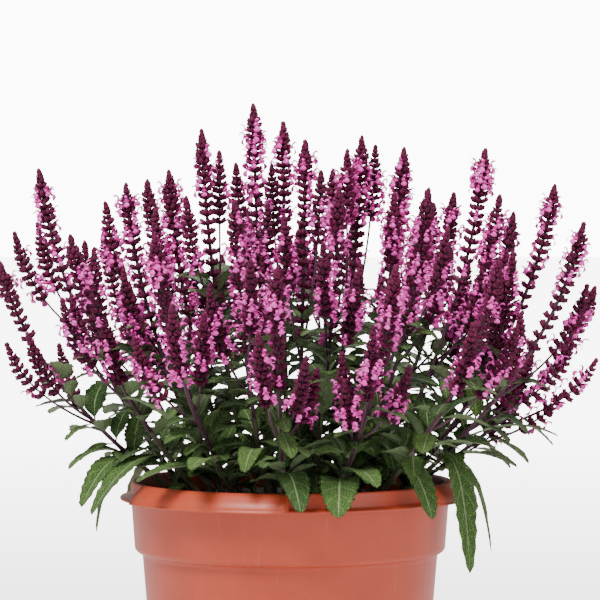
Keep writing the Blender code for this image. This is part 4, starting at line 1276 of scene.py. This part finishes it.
def painted(name, colours, rough, sheen, vein_scale, rise_share):
    """Petal and calyx skins: darker towards the foot, lighter towards the mouth, finely veined."""
    material, tree, shader = new_material(
        name, Roughness=rough, Sheen_Weight=sheen, Specular_IOR_Level=0.22,
    )
    rise = maths(tree, "MULTIPLY", mark(tree, "rise"), rise_share)
    tone = maths(tree, "ADD", mark(tree, "tone"), rise)
    shift = maths(tree, "MULTIPLY", tone, PAINT_SHARE)
    colour, veins = mottled(tree, vein_scale, 3.0, colours, (0.15, 0.85), PAINT_SHARE, shift)
    tree.links.new(colour, shader.inputs["Base Color"])
    raise_skin(tree, shader, veins, 0.4, 0.0003)
    return material


def frame_towards(outward, upward):
    """A turn whose +Z points outward and whose +X leans upward, as a 3 by 3 array of columns."""
    z = unit(outward)
    x = unit(upward - z * (upward @ z))
    return np.column_stack((x, np.cross(z, x), z))


def dress_spike(curve, length, open_share, draw, spots):
    """Places one spike's rings. The curve gives point and direction at a distance below the tip."""
    lean = draw.uniform(0, math.pi)
    tone = draw.uniform(0.0, 0.35)
    first_open = draw.uniform(*FIRST_OPEN)
    last_open = first_open + draw.uniform(*OPEN_RINGS)
    for number, distance in enumerate(ring_distances(length)):
        opening = open_share * (IN_FLOWER if first_open < number < last_open else OUT_OF_FLOWER)
        centre, ahead = curve(distance)
        side = unit(np.cross(ahead, (0.31, 0.87, 0.2)))
        front = np.cross(ahead, side)
        age = min(1.0, number / FULL_SIZE_RING)
        lean += math.pi / RING_FLOWERS + draw.uniform(-0.15, 0.15)
        for k in range(RING_FLOWERS):
            angle = lean + 2 * math.pi * k / RING_FLOWERS + draw.uniform(-0.14, 0.14)
            way = math.cos(angle) * side + math.sin(angle) * front
            tilt = FULL_TILT * min(1.0, number / FULL_TILT_RING)
            tilt = math.radians(tilt + draw.uniform(-TILT_SPREAD, TILT_SPREAD))
            turn = frame_towards(way * math.sin(tilt) + ahead * math.cos(tilt), ahead)
            size = CALYX_LENGTH * (YOUNG_SIZE + (1 - YOUNG_SIZE) * age)
            size *= draw.uniform(*CALYX_SPREAD)
            spot = centre + way * FLOWER_FOOT
            kind = "bud" if number < BUD_RINGS else "calyx"
            spots[kind].append((spot, turn, size * CM, tone + draw.uniform(0, 0.6)))
            if kind == "calyx" and draw.random() < opening:
                nod = tilt + FLORET_NOD
                size = CALYX_LENGTH * FLORET_SIZE * draw.uniform(*FLORET_SPREAD)
                turn = frame_towards(way * math.sin(nod) + ahead * math.cos(nod), ahead)
                spots["floret"].append((spot, turn, size * CM, draw.random()))
        if number >= BUD_RINGS - 1:
            for angle in (lean, lean + math.pi):
                way = math.cos(angle) * side + math.sin(angle) * front
                spot = centre + way * 0.08 - ahead * 0.1
                turn = frame_towards(way * 0.75 + ahead * 0.5, ahead)
                size = BRACT_SIZE * draw.uniform(*BRACT_SPREAD)
                spots["bract"].append((spot, turn, size * CM, tone + draw.uniform(0, 0.5)))


def marked_template(name, shape, material):
    """A template whose points carry how far out they stand, for the paint."""
    points, faces = shape
    top = max(p[2] for p in points)
    growth = Growth()
    in_centimetres = [tuple(c / CM for c in p) for p in points]
    growth.add(in_centimetres, faces, rise=[p[2] / top for p in points])
    return growth.piece(name, material)


calyx_skin = painted("calyx_skin", CALYX_COLOURS, 0.6, 0.04, 900.0, 0.5)
bract_skin = painted("bract_skin", BRACT_COLOURS, 0.6, 0.04, 600.0, 0.3)
petal_skin = painted("petal_skin", PETAL_COLOURS, 0.55, 0.03, 700.0, 0.5)
bud_shape = lofted([tube_ring(0.0, 0.11), tube_ring(0.45, 0.36), tube_ring(1.0, 0.06)])
templates = {
    "calyx": (marked_template("calyx", calyx_template(), calyx_skin), calyx_skin),
    "bud": (marked_template("bud", bud_shape, calyx_skin), calyx_skin),
    "floret": (marked_template("floret", floret_template(), petal_skin), petal_skin),
    "bract": (marked_template("bract", bract_template(), bract_skin), bract_skin),
}
draw = random.Random(41)
half = len(stems) // 2
for part, group in (("left", stems[:half]), ("right", stems[half:])):
    spots = {kind: [] for kind in templates}
    for stem in group:

        def main_curve(distance):
            height = stem["tip"][2] + TIP_REACH - distance
            return stem_section(stem, height)[:2]

        share = OPEN_SHARES[stem["index"]]
        dress_spike(main_curve, stem["tip"][2] - stem["spike_foot"], share, draw, spots)
        for side in stem["sides"]:
            rise = side["spike"] / (1 - side["foot"])

            def side_curve(distance):
                at = 1.03 - distance / rise
                centre, following = bezier(*side["curve"], np.array((at, at + 0.01)))
                return centre, unit(following - centre)

            dress_spike(side_curve, side["spike"], share * SIDE_OPEN_SHARE, draw, spots)
    names = [f"bloom_{stem['index']:02d}" for stem in group]
    for kind, (template, skin) in templates.items():
        piece = placed(f"{kind}_rings_{part}", template, spots[kind], skin)
        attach(piece, "root")
        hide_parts(*names)
for template, _ in templates.values():
    bpy.data.objects.remove(template)


low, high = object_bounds()
